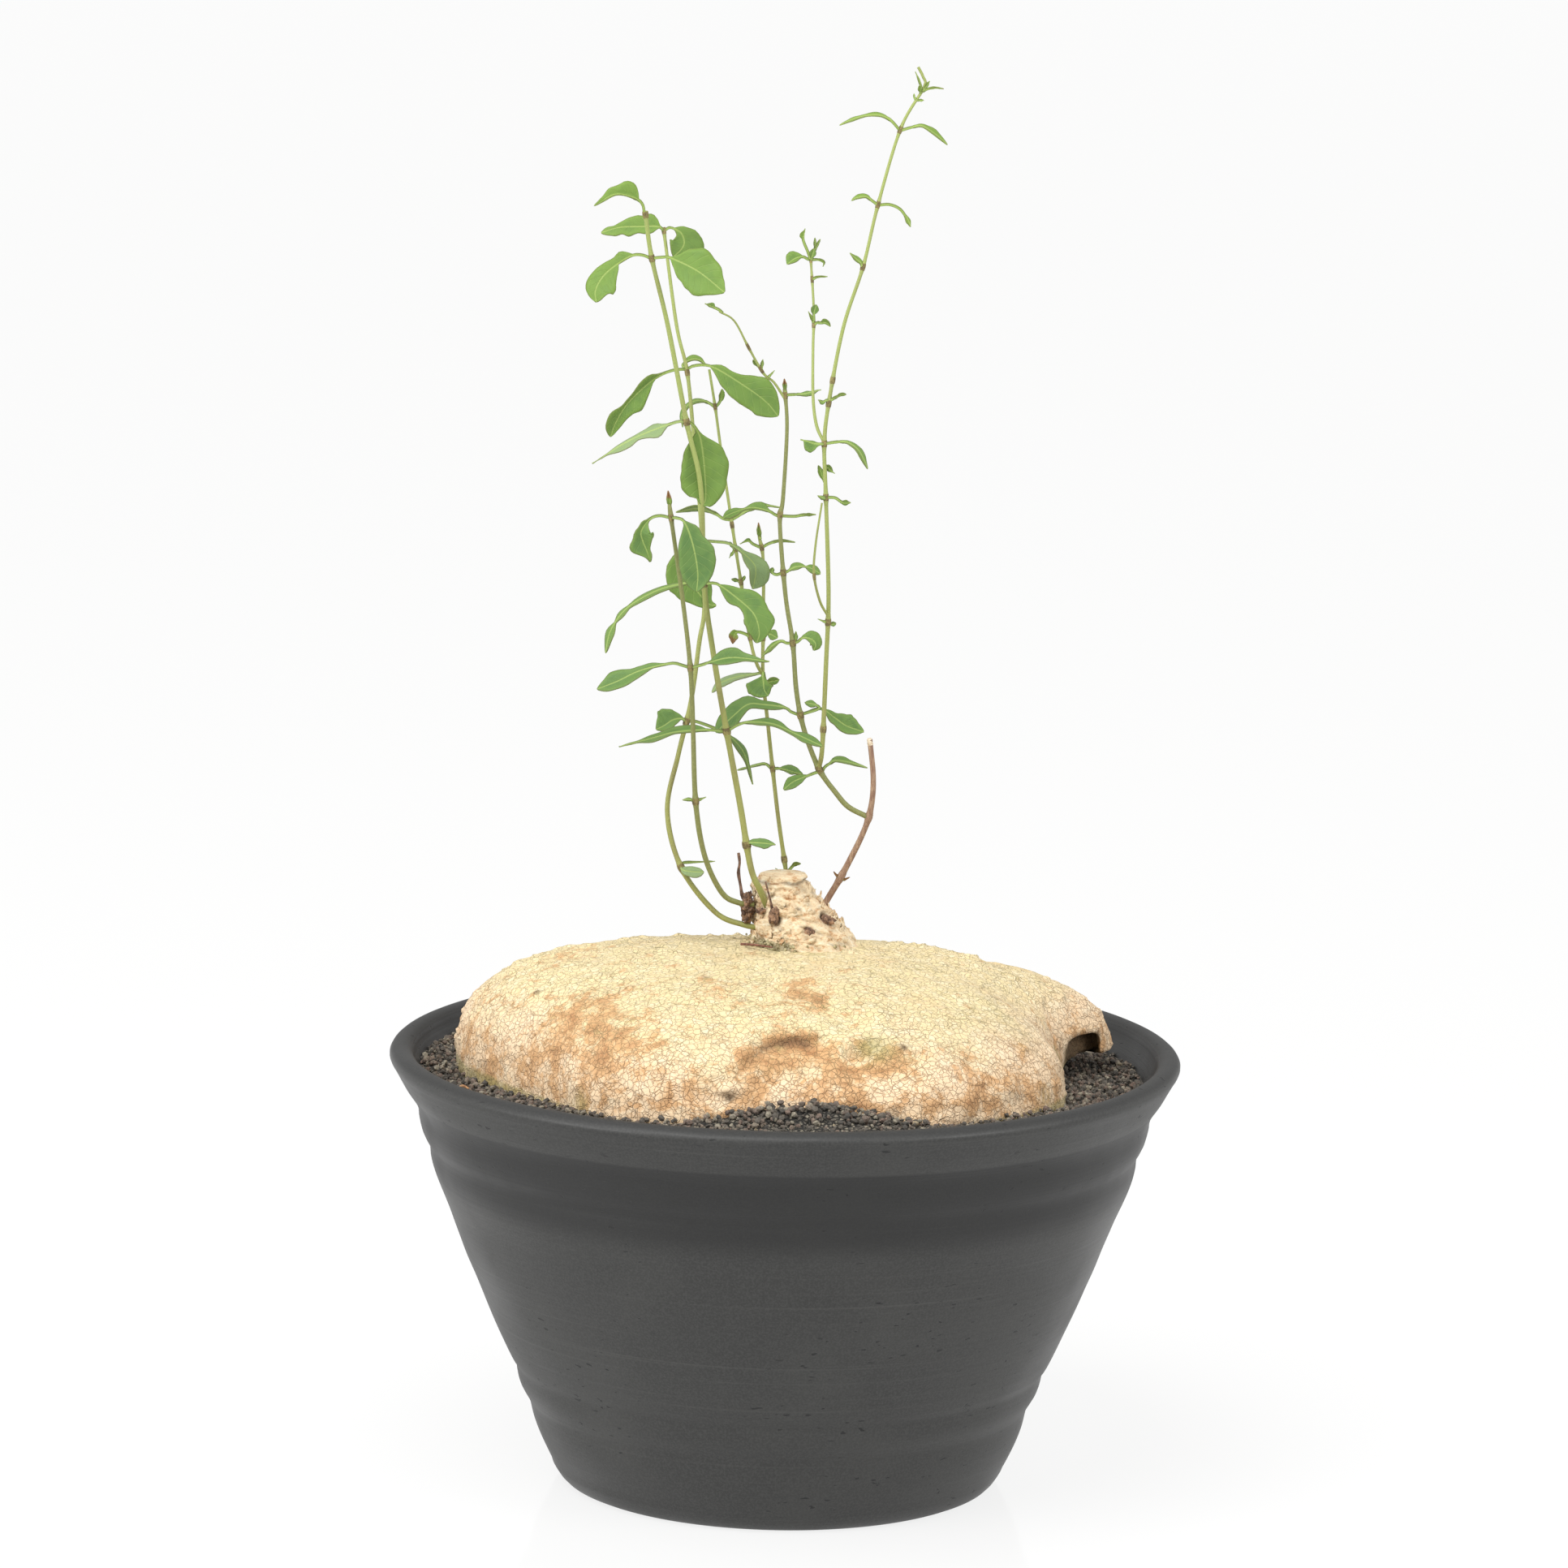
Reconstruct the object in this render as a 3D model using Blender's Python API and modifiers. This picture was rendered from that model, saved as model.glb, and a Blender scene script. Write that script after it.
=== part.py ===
"""A potted raphionacme: thin leafy stems on a swollen tuber, in a dark turned pot.

Metres, +Z up, with the origin at the centre of the pot's underside and the front towards -Y.
The tables of shapes hold millimetres, and MM turns them into metres.
"""

import math

import bmesh
import bpy
from mathutils import Vector, noise

MM = 0.001
GAP = 0.35  # between neighbouring pieces

# Driving dimensions of the pot
RIM_RADIUS = 120.0
POT_HEIGHT = 133.8
FLOOR_TOP = 8.0
FOOT_RADIUS = 61.5
FOOT_WIDTH = 8.0
FOOT_RECESS = 3.0
DRAIN_RADIUS = 12.0
TURNED_STEPS = 48

# Driving dimensions of the tuber
TUBER_WAIST = 125.0  # height of its widest level
TUBER_RISE = 41.8
TUBER_DEPTH = 47.0
NECK_TOP = 187.0

# Driving dimensions of the leaves
LEAF_THICKNESS = 0.5
PETIOLE_SHARE = 0.25
PETIOLE_WIDTH = 0.9

# Outside of the pot below the lip, as (radius, height): two rings near the top, two near the foot
POT_OUTSIDE = [
    (119.7, 129.6), (115.6, 122.4), (111.6, 117.0), (110.9, 113.6), (110.4, 110.2),
    (108.0, 105.2), (107.5, 100.5), (103.5, 89.0), (96.1, 70.0), (82.8, 38.8), (80.6, 36.2), (79.9, 32.6),
    (77.6, 26.6), (76.0, 24.2), (75.2, 20.6), (69.6, 6.8), (67.0, 2.6), (64.0, 0.5),
]
# Inside of the pot, from the floor up to the lip
POT_INSIDE = [(60.0, 8.0), (66.0, 11.0), (70.0, 17.0), (101.0, 101.0), (105.6, 117.0), (112.9, 130.6)]
LIP = [(113.6, 133.2), (116.6, POT_HEIGHT), (119.1, 133.1), (RIM_RADIUS, 131.4)]

# Plan of the tuber at its waist, as (turn in degrees from +X, radius)
TUBER_PLAN = [
    (0, 81), (15, 80), (35, 82), (60, 78), (90, 74), (120, 79), (150, 91), (180, 99.5), (200, 95.5),
    (216, 94.5), (230, 98), (245, 103.5), (258, 100.5), (270, 96.5), (282, 98), (296, 103.5),
    (310, 101.5), (322, 99), (331, 95.5), (342, 86.5),
]
# How square its shoulder is, as (turn, exponent of its upper curve)
TUBER_SHOULDER = [(0, 2.3), (45, 2.15), (90, 2.1), (135, 2.5), (180, 3.3), (225, 3.0), (270, 2.7), (315, 2.5)]
TUBER_UNDER = 2.2
TUBER_BACK_SLOPE = 0.08
SEAT_GROWTH = 0.6  # how much wider than the tuber its seat in the grit is
# A lobe that juts out over the soil on the right
LOBE_TURN, LOBE_SPREAD, LOBE_REACH = 11.5, 11.0, 27.5
LOBE_FOOT, LOBE_FULL, LOBE_FADE, LOBE_TOP = 132.0, 136.5, 139.0, 156.0
# Dents in the tuber, and swellings where the depth is negative: centre, reach and depth
DENTS = [
    ((2, -92, 147), 9, 3.0), ((28, -90, 146), 10, 2.5), ((-48, -80, 150), 14, -1.5),
    ((-46, -4, 166), 28, 1.2), ((66, 4, 157), 22, -2.6),
]

# Woody neck on the tuber, as (height, centre x, radius)
NECK = [
    (156, 4.0, 17.5), (166, 3.4, 15.0), (170, 2.4, 13.2), (175, 0.8, 11.6), (181, -1.4, 9.8),
    (NECK_TOP, -3.4, 8.4),
]
NECK_SIDES, NECK_CUTS, NECK_ROUGHNESS = 18, 7, 0.13
# Dark knot on the left of the neck, where old shoots came out
KNOT_CENTRE, KNOT_RADII = (-10.6, -3.5, 176.4), (3.6, 4.2, 4.6)

# Stems: radius at the foot, radius at the tip, and the route from foot to tip.
STEMS = {
    "stem_front": (1.0, 0.65, [
        (-6.2, -6.8, 178), (-8.6, -9.2, 184), (-11.5, -10, 191), (-15, -11, 210), (-19.5, -13, 233),
        (-23.5, -14.5, 254.5), (-27, -16.5, 278), (-28.5, -19, 307.5), (-33, -20.5, 327), (-39, -23, 356),
        (-44, -25, 376), (-46.2, -26, 390)]),
    "stem_left_tall": (0.85, 0.5, [
        (-9.5, -4, 171.5), (-13.5, -4, 172.2), (-22, -3, 175.7), (-32.5, -2, 189), (-37, -0.5, 206),
        (-34, 1, 223), (-30.5, 2.5, 239), (-28.3, 5, 257), (-27, 6.5, 267), (-28, 9, 287), (-31, 13, 316),
        (-33.5, 16, 337), (-37, 18, 351), (-41.5, 22, 380)]),
    "stem_left_short": (0.85, 0.6, [
        (-10.5, -4.5, 178.4), (-15, -6, 179.3), (-20, -7.5, 182.5), (-25.3, -10.5, 194), (-28.3, -14.5, 211),
        (-29.5, -20, 235.5), (-30.5, -24.5, 253.5), (-33, -28, 274), (-37, -32, 300.5), (-37.4, -32.4, 304)]),
    "stem_centre": (0.7, 0.5, [
        (0, 6, 179), (-1, 9, 187), (-3.8, 9.6, 204.5), (-7.3, 12, 231.5), (-9, 13.5, 246), (-9.2, 15.2, 262),
        (-9.6, 17.5, 280), (-11, 18.2, 287.5)]),
    "stub_right": (0.95, 0.8, [
        (10, 4, 175.5), (12.5, 4.6, 180), (16.2, 3, 187), (22, 0, 200), (24.3, -2.5, 208.5), (24.8, -4.5, 218),
        (23.5, -6, 230)]),
    "dead_twig_left": (0.45, 0.3, [(-10.8, -2, 178.2), (-14, -3, 181), (-15.6, -3, 187), (-15.6, -3, 194)]),
    "dead_twig_front": (0.45, 0.25, [(-4, -8, 175.5), (-4.8, -10.4, 178.5), (-5.6, -11.2, 182), (-7, -11.8, 187)]),
}
# Branches: parent, height of the fork, radius at the foot, radius at the tip, and the rest of the route
BRANCHES = {
    "twig_centre": ("stem_centre", 246, 0.55, 0.4, [
        (-11.2, 12, 250), (-13.2, 12.8, 257.5), (-16.2, 13.8, 274), (-19.2, 16, 291), (-23, 19.3, 313.5),
        (-25, 21.8, 326), (-27, 24, 337)]),
    "stem_right": ("stub_right", 205.5, 0.85, 0.55, [
        (17.6, -2.5, 208.6), (13.6, -2.8, 213), (8.4, -2.6, 220.2), (3.7, -2.3, 232), (1.2, -2, 243.5),
        (-0.2, -0.8, 258), (-2.7, 0.6, 272.5), (-4.8, 2.6, 294), (-4, 3.2, 301), (-3.2, 5, 322), (-4.1, 6, 334)]),
    "stem_tall": ("stem_right", 220.5, 0.75, 0.45, [
        (9.3, -5.8, 228), (9.9, -8, 254), (10.2, -10, 274), (8.8, -11.8, 304), (8, -11.2, 320),
        (9.2, -10.8, 333), (13, -10.2, 355), (18.5, -8.3, 373), (22.5, -5.6, 391), (28.8, -2.2, 413.5),
        (35.4, -0.2, 425.5), (35.2, 0, 428.5), (33.6, 0, 431.6)]),
    "twig_fork": ("stem_tall", 320.5, 0.5, 0.35, [
        (5.6, -8.4, 325), (4.4, -5.5, 333), (4.1, -0.7, 347), (4.1, 3, 358), (2.9, 8, 373)]),
    "twig_side": ("stem_tall", 268, 0.42, 0.3, [
        (7.6, -13.6, 273), (5.7, -17.2, 281.5), (6, -19.7, 291), (7.6, -22, 303.7)]),
    "twig_top_left": ("stem_right", 331, 0.42, 0.28, [
        (-7.4, 4.9, 336), (-10.5, 3.7, 338.7), (-15, 1.3, 346.5), (-19.5, -1.7, 355), (-24, -4, 358)]),
}

# Leaves: stem, node height, then the knee and the tip of the midrib from that node, the width, and
# how far the upper face turns from straight up towards the front, in degrees.
LEAVES = {
    "leaf_front_1_right": ("stem_front", 198, (3, -1, 2), (9, -3, 0), 5, 25),
    "leaf_front_2_left": ("stem_front", 233, (-14, -3, 5.5), (-31.5, -6, -5.5), 8, 8),
    "leaf_front_2_right": ("stem_front", 233, (13, -2, 8), (28, -4, -3.5), 8, 8),
    "leaf_front_3_left": ("stem_front", 278, (-16, -3, -2), (-28, -8, -21), 5, 30),
    "leaf_front_3_right": ("stem_front", 278, (9, -4, 0.5), (19, -8, -14.5), 11, 60),
    "leaf_front_4_left": ("stem_front", 327, (-12, -2, -3), (-26, -6, -12.5), 9, 35),
    "leaf_front_4_right": ("stem_front", 327, (5.5, -6, -4), (6, -8, -23.5), 14, 85),
    "leaf_front_5_left": ("stem_front", 376, (-11, -3, 3), (-15.5, -6, -13), 12, 70),
    "leaf_front_5_right": ("stem_front", 376, (11.5, -3, 3.5), (20.5, -7, -10.5), 13, 70),
    "leaf_front_6_left": ("stem_front", 389, (-6.5, -1, 8.5), (-14, -3, 2), 9, 50),
    "leaf_tall_left_1_right": ("stem_left_tall", 189, (3, -2, 3), (6.5, -4, -1), 5, 35),
    "leaf_tall_left_2_left": ("stem_left_tall", 233, (-5.5, -3, 4), (-10.5, -5, -0.5), 9, 60),
    "leaf_tall_left_2_right": ("stem_left_tall", 233, (18, 2, 2), (21, 3, -19.5), 6, 20),
    "leaf_tall_left_3_left": ("stem_left_tall", 287, (-14, 4, -3), (4, 6, -20.5), 12, 80),
    "leaf_tall_left_3_right": ("stem_left_tall", 287, (17, 2, 0.5), (18.5, 0, -13.5), 9, 60),
    "leaf_tall_left_4_left": ("stem_left_tall", 337, (-14, 0, 2), (-23.5, -3, -20), 7, 50),
    "leaf_tall_left_4_right": ("stem_left_tall", 337, (14, -2, 5), (28, -4, -12.5), 10.5, 60),
    "leaf_tall_left_5_left": ("stem_left_tall", 379, (-9.5, -2, 4.5), (-18, -3, -2.5), 9, 45),
    "leaf_tall_left_5_right": ("stem_left_tall", 379, (8, 2, 2.5), (12, 3, -6.5), 9, 60),
    "leaf_short_left_2_left": ("stem_left_short", 254, (-15, -2, 0.5), (-26.5, -5, -7.5), 10, 40),
    "leaf_short_left_2_right": ("stem_left_short", 254, (13, -3, 5.5), (22, -6, 3.5), 9, 15),
    "leaf_short_left_3_left": ("stem_left_short", 300, (-7, -2, 1.5), (-7, -3, -13), 8, 60),
    "leaf_short_left_3_right": ("stem_left_short", 300, (6.5, -4, 0.5), (9, -5, -21), 11.5, 85),
    "leaf_centre_1_right": ("stem_centre", 217.5, (5, -1, 3.5), (9.5, -2, -0.5), 6, 35),
    "leaf_centre_2_front": ("stem_centre", 243, (1, -6, 3), (-0.5, -12, -3.5), 10, 0),
    "leaf_centre_2_left": ("stem_centre", 242.5, (-8.5, 3, 2.5), (-14.5, 4, -4), 7, 45),
    "leaf_twig_4_left": ("twig_centre", 291, (-6.5, 3, 4), (-17, 4, 2.5), 5, 0),
    "leaf_twig_5_left": ("twig_centre", 326, (-7.5, 2, 7), (-13, 2, -5), 5, 10),
    "leaf_right_1_left": ("stem_right", 219.5, (-6, -2, 0), (-10.5, -3, -6.5), 7, 60),
    "leaf_right_1_right": ("stem_right", 219, (6.5, 2, 5), (14, 3, 1.5), 6, 10),
    "leaf_right_2_left": ("stem_right", 236.5, (-15, -2, 6.5), (-24.5, -2, -6.5), 11, 20),
    "leaf_right_2_right": ("stem_right", 236.5, (10.5, 4, 5), (18.5, 4, -7), 9, 50),
    "leaf_right_3_left": ("stem_right", 258, (-5.5, -2, 1.5), (-9, -3, -4), 5, 40),
    "leaf_right_3_right": ("stem_right", 258, (5, -1, 4), (9, -2, 0), 6, 70),
    "leaf_right_4_right": ("stem_right", 279, (5, 1, 4), (11, 2, -0.5), 5, 20),
    "leaf_right_5_left": ("stem_right", 296, (-9, -1, 5.5), (-17, -3, -2), 8, 30),
    "leaf_tall_3_right": ("stem_tall", 320, (9.5, -2, 3), (13, -3, -7), 6, 30),
    "leaf_tall_6_left": ("stem_tall", 391, (-4, -1, 4.5), (-7.5, -2, 0.5), 4, 30),
    "leaf_tall_6_right": ("stem_tall", 391, (7, 1, 1.5), (9.5, 0, -6), 4.5, 30),
    "leaf_tall_7_left": ("stem_tall", 413, (-7.5, -2, 7), (-17.5, -3, 0.5), 6, 20),
    "leaf_tall_7_right": ("stem_tall", 413, (8.5, 1, 2), (13.5, 0, -4), 6, 30),
    "leaf_fork_2_left": ("twig_fork", 372, (-3.5, -1, 2), (-8.5, -2, 0), 5.5, 70),
}

# Colour and roughness of each finish
FINISHES = {
    "glazed_clay": ((0.035, 0.036, 0.036), 0.5),
    "plastic_screen": ((0.08, 0.09, 0.08), 0.6),
    "grit": ((0.05, 0.043, 0.036), 0.95),
    "tuber_bark": ((0.72, 0.58, 0.36), 0.85),
    "green_stem": ((0.22, 0.27, 0.09), 0.55),
    "woody_stem": ((0.27, 0.15, 0.09), 0.75),
    "leaf": ((0.16, 0.34, 0.07), 0.45),
}


def collection(name):
    made = bpy.data.collections.new(name)
    bpy.context.scene.collection.children.link(made)
    return made


def finish(node, name):
    """A material of the node's own, with the colour and roughness of a named finish."""
    colour, roughness = FINISHES[name]
    made = bpy.data.materials.new(f"{node}_{name}")
    made.use_nodes = True
    shader = made.node_tree.nodes["Principled BSDF"]
    shader.inputs["Base Color"].default_value = (*colour, 1.0)
    shader.inputs["Roughness"].default_value = roughness
    shader.inputs["Metallic"].default_value = 0.0
    return made


def add_object(name, data, home, finish_name=None):
    made = bpy.data.objects.new(name, data)
    home.objects.link(made)
    if finish_name:
        data.materials.append(finish(name, finish_name))
    return made


def mesh_object(name, bm, home, finish_name=None):
    mesh = bpy.data.meshes.new(name)
    bm.to_mesh(mesh)
    bm.free()
    mesh.shade_smooth()
    mesh.set_sharp_from_angle(angle=math.radians(40))
    return add_object(name, mesh, home, finish_name)


def cutter(name, bm, home):
    made = mesh_object(name, bm, home)
    made.hide_render = True
    made.display_type = "WIRE"
    return made


def boolean(target, other, operation):
    step = target.modifiers.new(operation.title(), "BOOLEAN")
    step.operation = operation
    step.solver = "EXACT"
    step.object = other


def between(table, value):
    """Height on a straight-sided curve through a table of (value, height)."""
    for (x0, y0), (x1, y1) in zip(table, table[1:]):
        if value <= x1:
            return y0 + (y1 - y0) * (value - x0) / (x1 - x0)
    return table[-1][1]


def around(table, turn):
    """Smooth closed curve through a table of (turn in degrees, value)."""
    turn %= 360.0
    count = len(table)
    i = max(n for n in range(count) if table[n][0] <= turn)
    turns = [table[(i + n) % count][0] + 360.0 * ((i + n) // count) for n in (-1, 0, 1, 2)]
    a, b, c, d = (table[(i + n) % count][1] for n in (-1, 0, 1, 2))
    span = turns[2] - turns[1]
    slope_b = (c - a) / (turns[2] - turns[0]) * span
    slope_c = (d - b) / (turns[3] - turns[1]) * span
    t = (turn - turns[1]) / span
    return (
        b * (2 * t**3 - 3 * t**2 + 1) + slope_b * (t**3 - 2 * t**2 + t)
        + c * (3 * t**2 - 2 * t**3) + slope_c * (t**3 - t**2)
    )


def ease(low, high, value):
    t = min(1.0, max(0.0, (value - low) / (high - low)))
    return t * t * (3 - 2 * t)


def hump(distance, reach):
    return math.exp(-((distance / reach) ** 2))


def turned(name, profile, home, finish_name):
    """A ring or a solid of revolution from a closed or axis-to-axis profile at +X."""
    mesh = bpy.data.meshes.new(name)
    points = [(r * MM, 0.0, z * MM) for r, z in profile]
    edges = [(i, i + 1) for i in range(len(points) - 1)]
    if profile[0][0] > 0 and profile[-1][0] > 0:
        edges.append((len(points) - 1, 0))
    mesh.from_pydata(points, edges, [])
    made = add_object(name, mesh, home, finish_name)
    screw = made.modifiers.new("Turn", "SCREW")
    screw.steps = screw.render_steps = TURNED_STEPS
    screw.use_merge_vertices = True
    screw.merge_threshold = 0.0001
    screw.use_smooth_shade = True
    return made


def frozen(turned_object, home, finish_name):
    """The turned object's evaluated mesh as a plain mesh object of the same name."""
    name = turned_object.name
    graph = bpy.context.evaluated_depsgraph_get()
    mesh = bpy.data.meshes.new_from_object(turned_object.evaluated_get(graph))
    bpy.data.objects.remove(turned_object)
    mesh.materials.clear()
    return add_object(name, mesh, home, finish_name)


def pot(home):
    foot = [
        (FOOT_RADIUS, 0.0), (FOOT_RADIUS - FOOT_WIDTH, 0.0),
        (FOOT_RADIUS - FOOT_WIDTH - 1.0, FOOT_RECESS), (DRAIN_RADIUS + 1.5, FOOT_RECESS),
        (DRAIN_RADIUS, FOOT_RECESS + 1.5), (DRAIN_RADIUS, FLOOR_TOP),
    ]
    return turned("pot", LIP[1:] + POT_OUTSIDE + foot + POT_INSIDE + LIP[:1], home, "glazed_clay")


def drain_screen(home, cutters):
    radius, thick, slots, pitch, slot_width = 19.0, 1.2, 9, 3.2, 1.4
    bm = bmesh.new()
    bmesh.ops.create_cone(bm, cap_ends=True, segments=24, radius1=radius, radius2=radius, depth=thick)
    bmesh.ops.scale(bm, vec=(MM, MM, MM), verts=bm.verts)
    bmesh.ops.translate(bm, vec=(0, 0, (FLOOR_TOP + GAP + thick / 2) * MM), verts=bm.verts)
    screen = mesh_object("drain_screen", bm, home, "plastic_screen")
    bm = bmesh.new()
    for i in range(slots):
        x = (i - (slots - 1) / 2) * pitch
        length = 2 * math.sqrt((radius - 3.0) ** 2 - x * x)
        slot = bmesh.ops.create_cube(bm, size=1.0)["verts"]
        bmesh.ops.scale(bm, vec=(slot_width * MM, length * MM, 4 * thick * MM), verts=slot)
        bmesh.ops.translate(bm, vec=(x * MM, 0, (FLOOR_TOP + thick) * MM), verts=slot)
    boolean(screen, cutter("screen_slots", bm, cutters), "DIFFERENCE")
    return screen


def tuber_point(direction, grow=0.0):
    """Point of the tuber, in millimetres, for a unit direction from the middle of its waist."""
    turn = math.degrees(math.atan2(direction.y, direction.x))
    across = math.hypot(direction.x, direction.y)
    radius = around(TUBER_PLAN, turn)
    if direction.z < 0:
        level = -TUBER_DEPTH * abs(direction.z) ** (2 / TUBER_UNDER)
        spread = across ** (2 / TUBER_UNDER)
    else:
        squareness = around(TUBER_SHOULDER, turn)
        level = TUBER_RISE * direction.z ** (2 / squareness)
        spread = across ** (2 / squareness)
    off_lobe = (turn - LOBE_TURN + 180) % 360 - 180
    height = TUBER_WAIST + level
    jut = ease(LOBE_FOOT, LOBE_FULL, height) * (1 - ease(LOBE_FADE, LOBE_TOP, height))
    radius += LOBE_REACH * hump(off_lobe, LOBE_SPREAD) * jut
    angle = math.radians(turn)
    x, y = radius * spread * math.cos(angle), radius * spread * math.sin(angle)
    level -= TUBER_BACK_SLOPE * max(0.0, y) * max(0.0, level) / TUBER_RISE
    point = Vector((x, y, TUBER_WAIST + level))
    outward = (point - Vector((0, 0, TUBER_WAIST))).normalized()
    bump = 0.8 * noise.noise(point / 16)
    for centre, reach, depth in DENTS:
        bump -= depth * hump((point - Vector(centre)).length, reach)
    return point + outward * (bump + grow)


def tuber_mesh(grow=0.0):
    bm = bmesh.new()
    bmesh.ops.create_uvsphere(bm, u_segments=40, v_segments=20, radius=1.0)
    for vertex in bm.verts:
        vertex.co = tuber_point(vertex.co.normalized(), grow) * MM
    return bm


def neck_mesh():
    """The rough woody neck: a cone of rings that lean to the left as they rise."""
    bm = bmesh.new()
    bmesh.ops.create_cone(bm, cap_ends=True, segments=NECK_SIDES, radius1=1.0, radius2=1.0, depth=1.0)
    uprights = [e for e in bm.edges if abs(e.verts[0].co.z - e.verts[1].co.z) > 0.5]
    bmesh.ops.subdivide_edges(bm, edges=uprights, cuts=NECK_CUTS)
    low = NECK[0][0]
    for vertex in bm.verts:
        height = low + (NECK_TOP - low) * (vertex.co.z + 0.5)
        centre = between([(z, x) for z, x, r in NECK], height)
        radius = between([(z, r) for z, x, r in NECK], height)
        rough = 1 + NECK_ROUGHNESS * noise.noise(vertex.co * 3.0 + Vector((7.3, 1.9, 4.4)))
        place = Vector((centre + vertex.co.x * radius * rough, vertex.co.y * radius * rough, height))
        vertex.co = place * MM
    return bm


def knot_mesh():
    bm = bmesh.new()
    bmesh.ops.create_icosphere(bm, subdivisions=2, radius=1.0)
    bmesh.ops.scale(bm, vec=Vector(KNOT_RADII) * MM, verts=bm.verts)
    bmesh.ops.translate(bm, vec=Vector(KNOT_CENTRE) * MM, verts=bm.verts)
    return bm


def socket_mesh(route, radius):
    """A round hole along the first stretch of a stem, a gap wider than it and a gap deeper."""
    foot, ahead = Vector(route[0]), Vector(route[1])
    along = (ahead - foot).normalized()
    sides, reach = 8, 9.0
    wide = (radius + GAP) / math.cos(math.pi / sides)
    bm = bmesh.new()
    bmesh.ops.create_cone(bm, cap_ends=True, segments=sides, radius1=wide, radius2=wide, depth=reach)
    turn = along.to_track_quat("Z", "Y").to_matrix().to_4x4()
    bmesh.ops.transform(bm, matrix=turn, verts=bm.verts)
    bmesh.ops.translate(bm, vec=foot + along * (reach / 2 - GAP), verts=bm.verts)
    bmesh.ops.scale(bm, vec=(MM, MM, MM), verts=bm.verts)
    return bm


def caudex(home, cutters):
    body = mesh_object("caudex", tuber_mesh(), home, "tuber_bark")
    boolean(body, cutter("neck", neck_mesh(), cutters), "UNION")
    boolean(body, cutter("knot", knot_mesh(), cutters), "UNION")
    for name, (foot_radius, _, route) in STEMS.items():
        boolean(body, cutter(f"socket_{name}", socket_mesh(route, foot_radius), cutters), "DIFFERENCE")
    return body


def soil_height(x, y):
    """Surface of the grit: low behind and on the right, near the rim in front, heaped on the tuber."""
    front = ease(20.0, 80.0, -y)
    heap = hump(x - 6.0, 30.0) * hump(y + 97.0, 9.0)
    return 125.5 - 0.012 * x + (4.5 + 0.012 * x) * front + 7.0 * heap


def inner_radius(height):
    return between([(z, r) for r, z in POT_INSIDE], height)


def soil(home, cutters):
    screen_radius, screen_top = 19.6, FLOOR_TOP + 2.0
    sides = [(r - GAP, z + GAP / 2) for r, z in POT_INSIDE[:-1]]
    rings = [(r, TUBER_WAIST) for r in (109.0, 105.0, 101.0, 97.0, 92.0, 85.0, 72.0, 45.0)]
    profile = [(0.0, TUBER_WAIST)] + rings[::-1] + sides[::-1]
    profile += [(screen_radius, FLOOR_TOP + GAP), (screen_radius, screen_top), (0.0, screen_top)]
    ground = frozen(turned("soil", profile, home, "grit"), home, "grit")
    for vertex in ground.data.vertices:
        x, y, z = (value / MM for value in vertex.co)
        if z < TUBER_WAIST - 1.0:
            continue
        radius = math.hypot(x, y)
        height = soil_height(x, y)
        if radius > 108.0:
            stretch = (inner_radius(height) - GAP) / radius
            vertex.co.x *= stretch
            vertex.co.y *= stretch
        vertex.co.z = height * MM
    boolean(ground, cutter("tuber_seat", tuber_mesh(grow=SEAT_GROWTH), cutters), "DIFFERENCE")
    return ground


def spline_points(points, step):
    """Points about a step apart on a smooth curve through the given ones."""
    points = [Vector(p) for p in points]
    padded = [2 * points[0] - points[1]] + points + [2 * points[-1] - points[-2]]
    smooth = []
    for a, b, c, d in zip(padded, padded[1:], padded[2:], padded[3:]):
        count = max(1, round((c - b).length / step))
        for n in range(count):
            t = n / count
            smooth.append(
                0.5 * (2 * b + (c - a) * t + (2 * a - 5 * b + 4 * c - d) * t**2
                       + (3 * b - a - 3 * c + d) * t**3)
            )
    return smooth + [points[-1]]


def stem(name, route, radii, home, finish_name):
    """A round tapering stem, as a curve with filled ends."""
    data = bpy.data.curves.new(name, "CURVE")
    data.dimensions = "3D"
    data.bevel_depth = radii[0] * MM
    data.bevel_resolution = 2
    data.use_fill_caps = True
    points = spline_points(route, 7.0)
    spline = data.splines.new("POLY")
    spline.points.add(len(points) - 1)
    for i, (place, point) in enumerate(zip(points, spline.points)):
        point.co = (*(place * MM), 1.0)
        point.radius = 1.0 + (radii[1] / radii[0] - 1.0) * i / (len(points) - 1)
    return add_object(name, data, home, finish_name)


def stem_at(route, radii, height):
    """Place, direction and radius of a stem where it passes a height."""
    points = spline_points(route, 7.0)
    for i, (a, b) in enumerate(zip(points, points[1:])):
        if a.z <= height <= b.z:
            share = (height - a.z) / (b.z - a.z)
            radius = radii[0] + (radii[1] - radii[0]) * i / (len(points) - 1)
            return a.lerp(b, share), (b - a).normalized(), radius
    raise ValueError(f"no stem at {height} mm")


def sideways(direction, along):
    return (direction - along * direction.dot(along)).normalized()


def branch_route(parent, height, radius, rest):
    """The branch's route, from just outside its parent."""
    place, along, parent_radius = stem_at(*parent, height)
    heading = Vector(rest[0]) - place
    lean = abs(heading.normalized().dot(along))
    away = sideways(heading, along) * (parent_radius + GAP + radius * lean)
    return [tuple(place + away)] + rest


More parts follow.
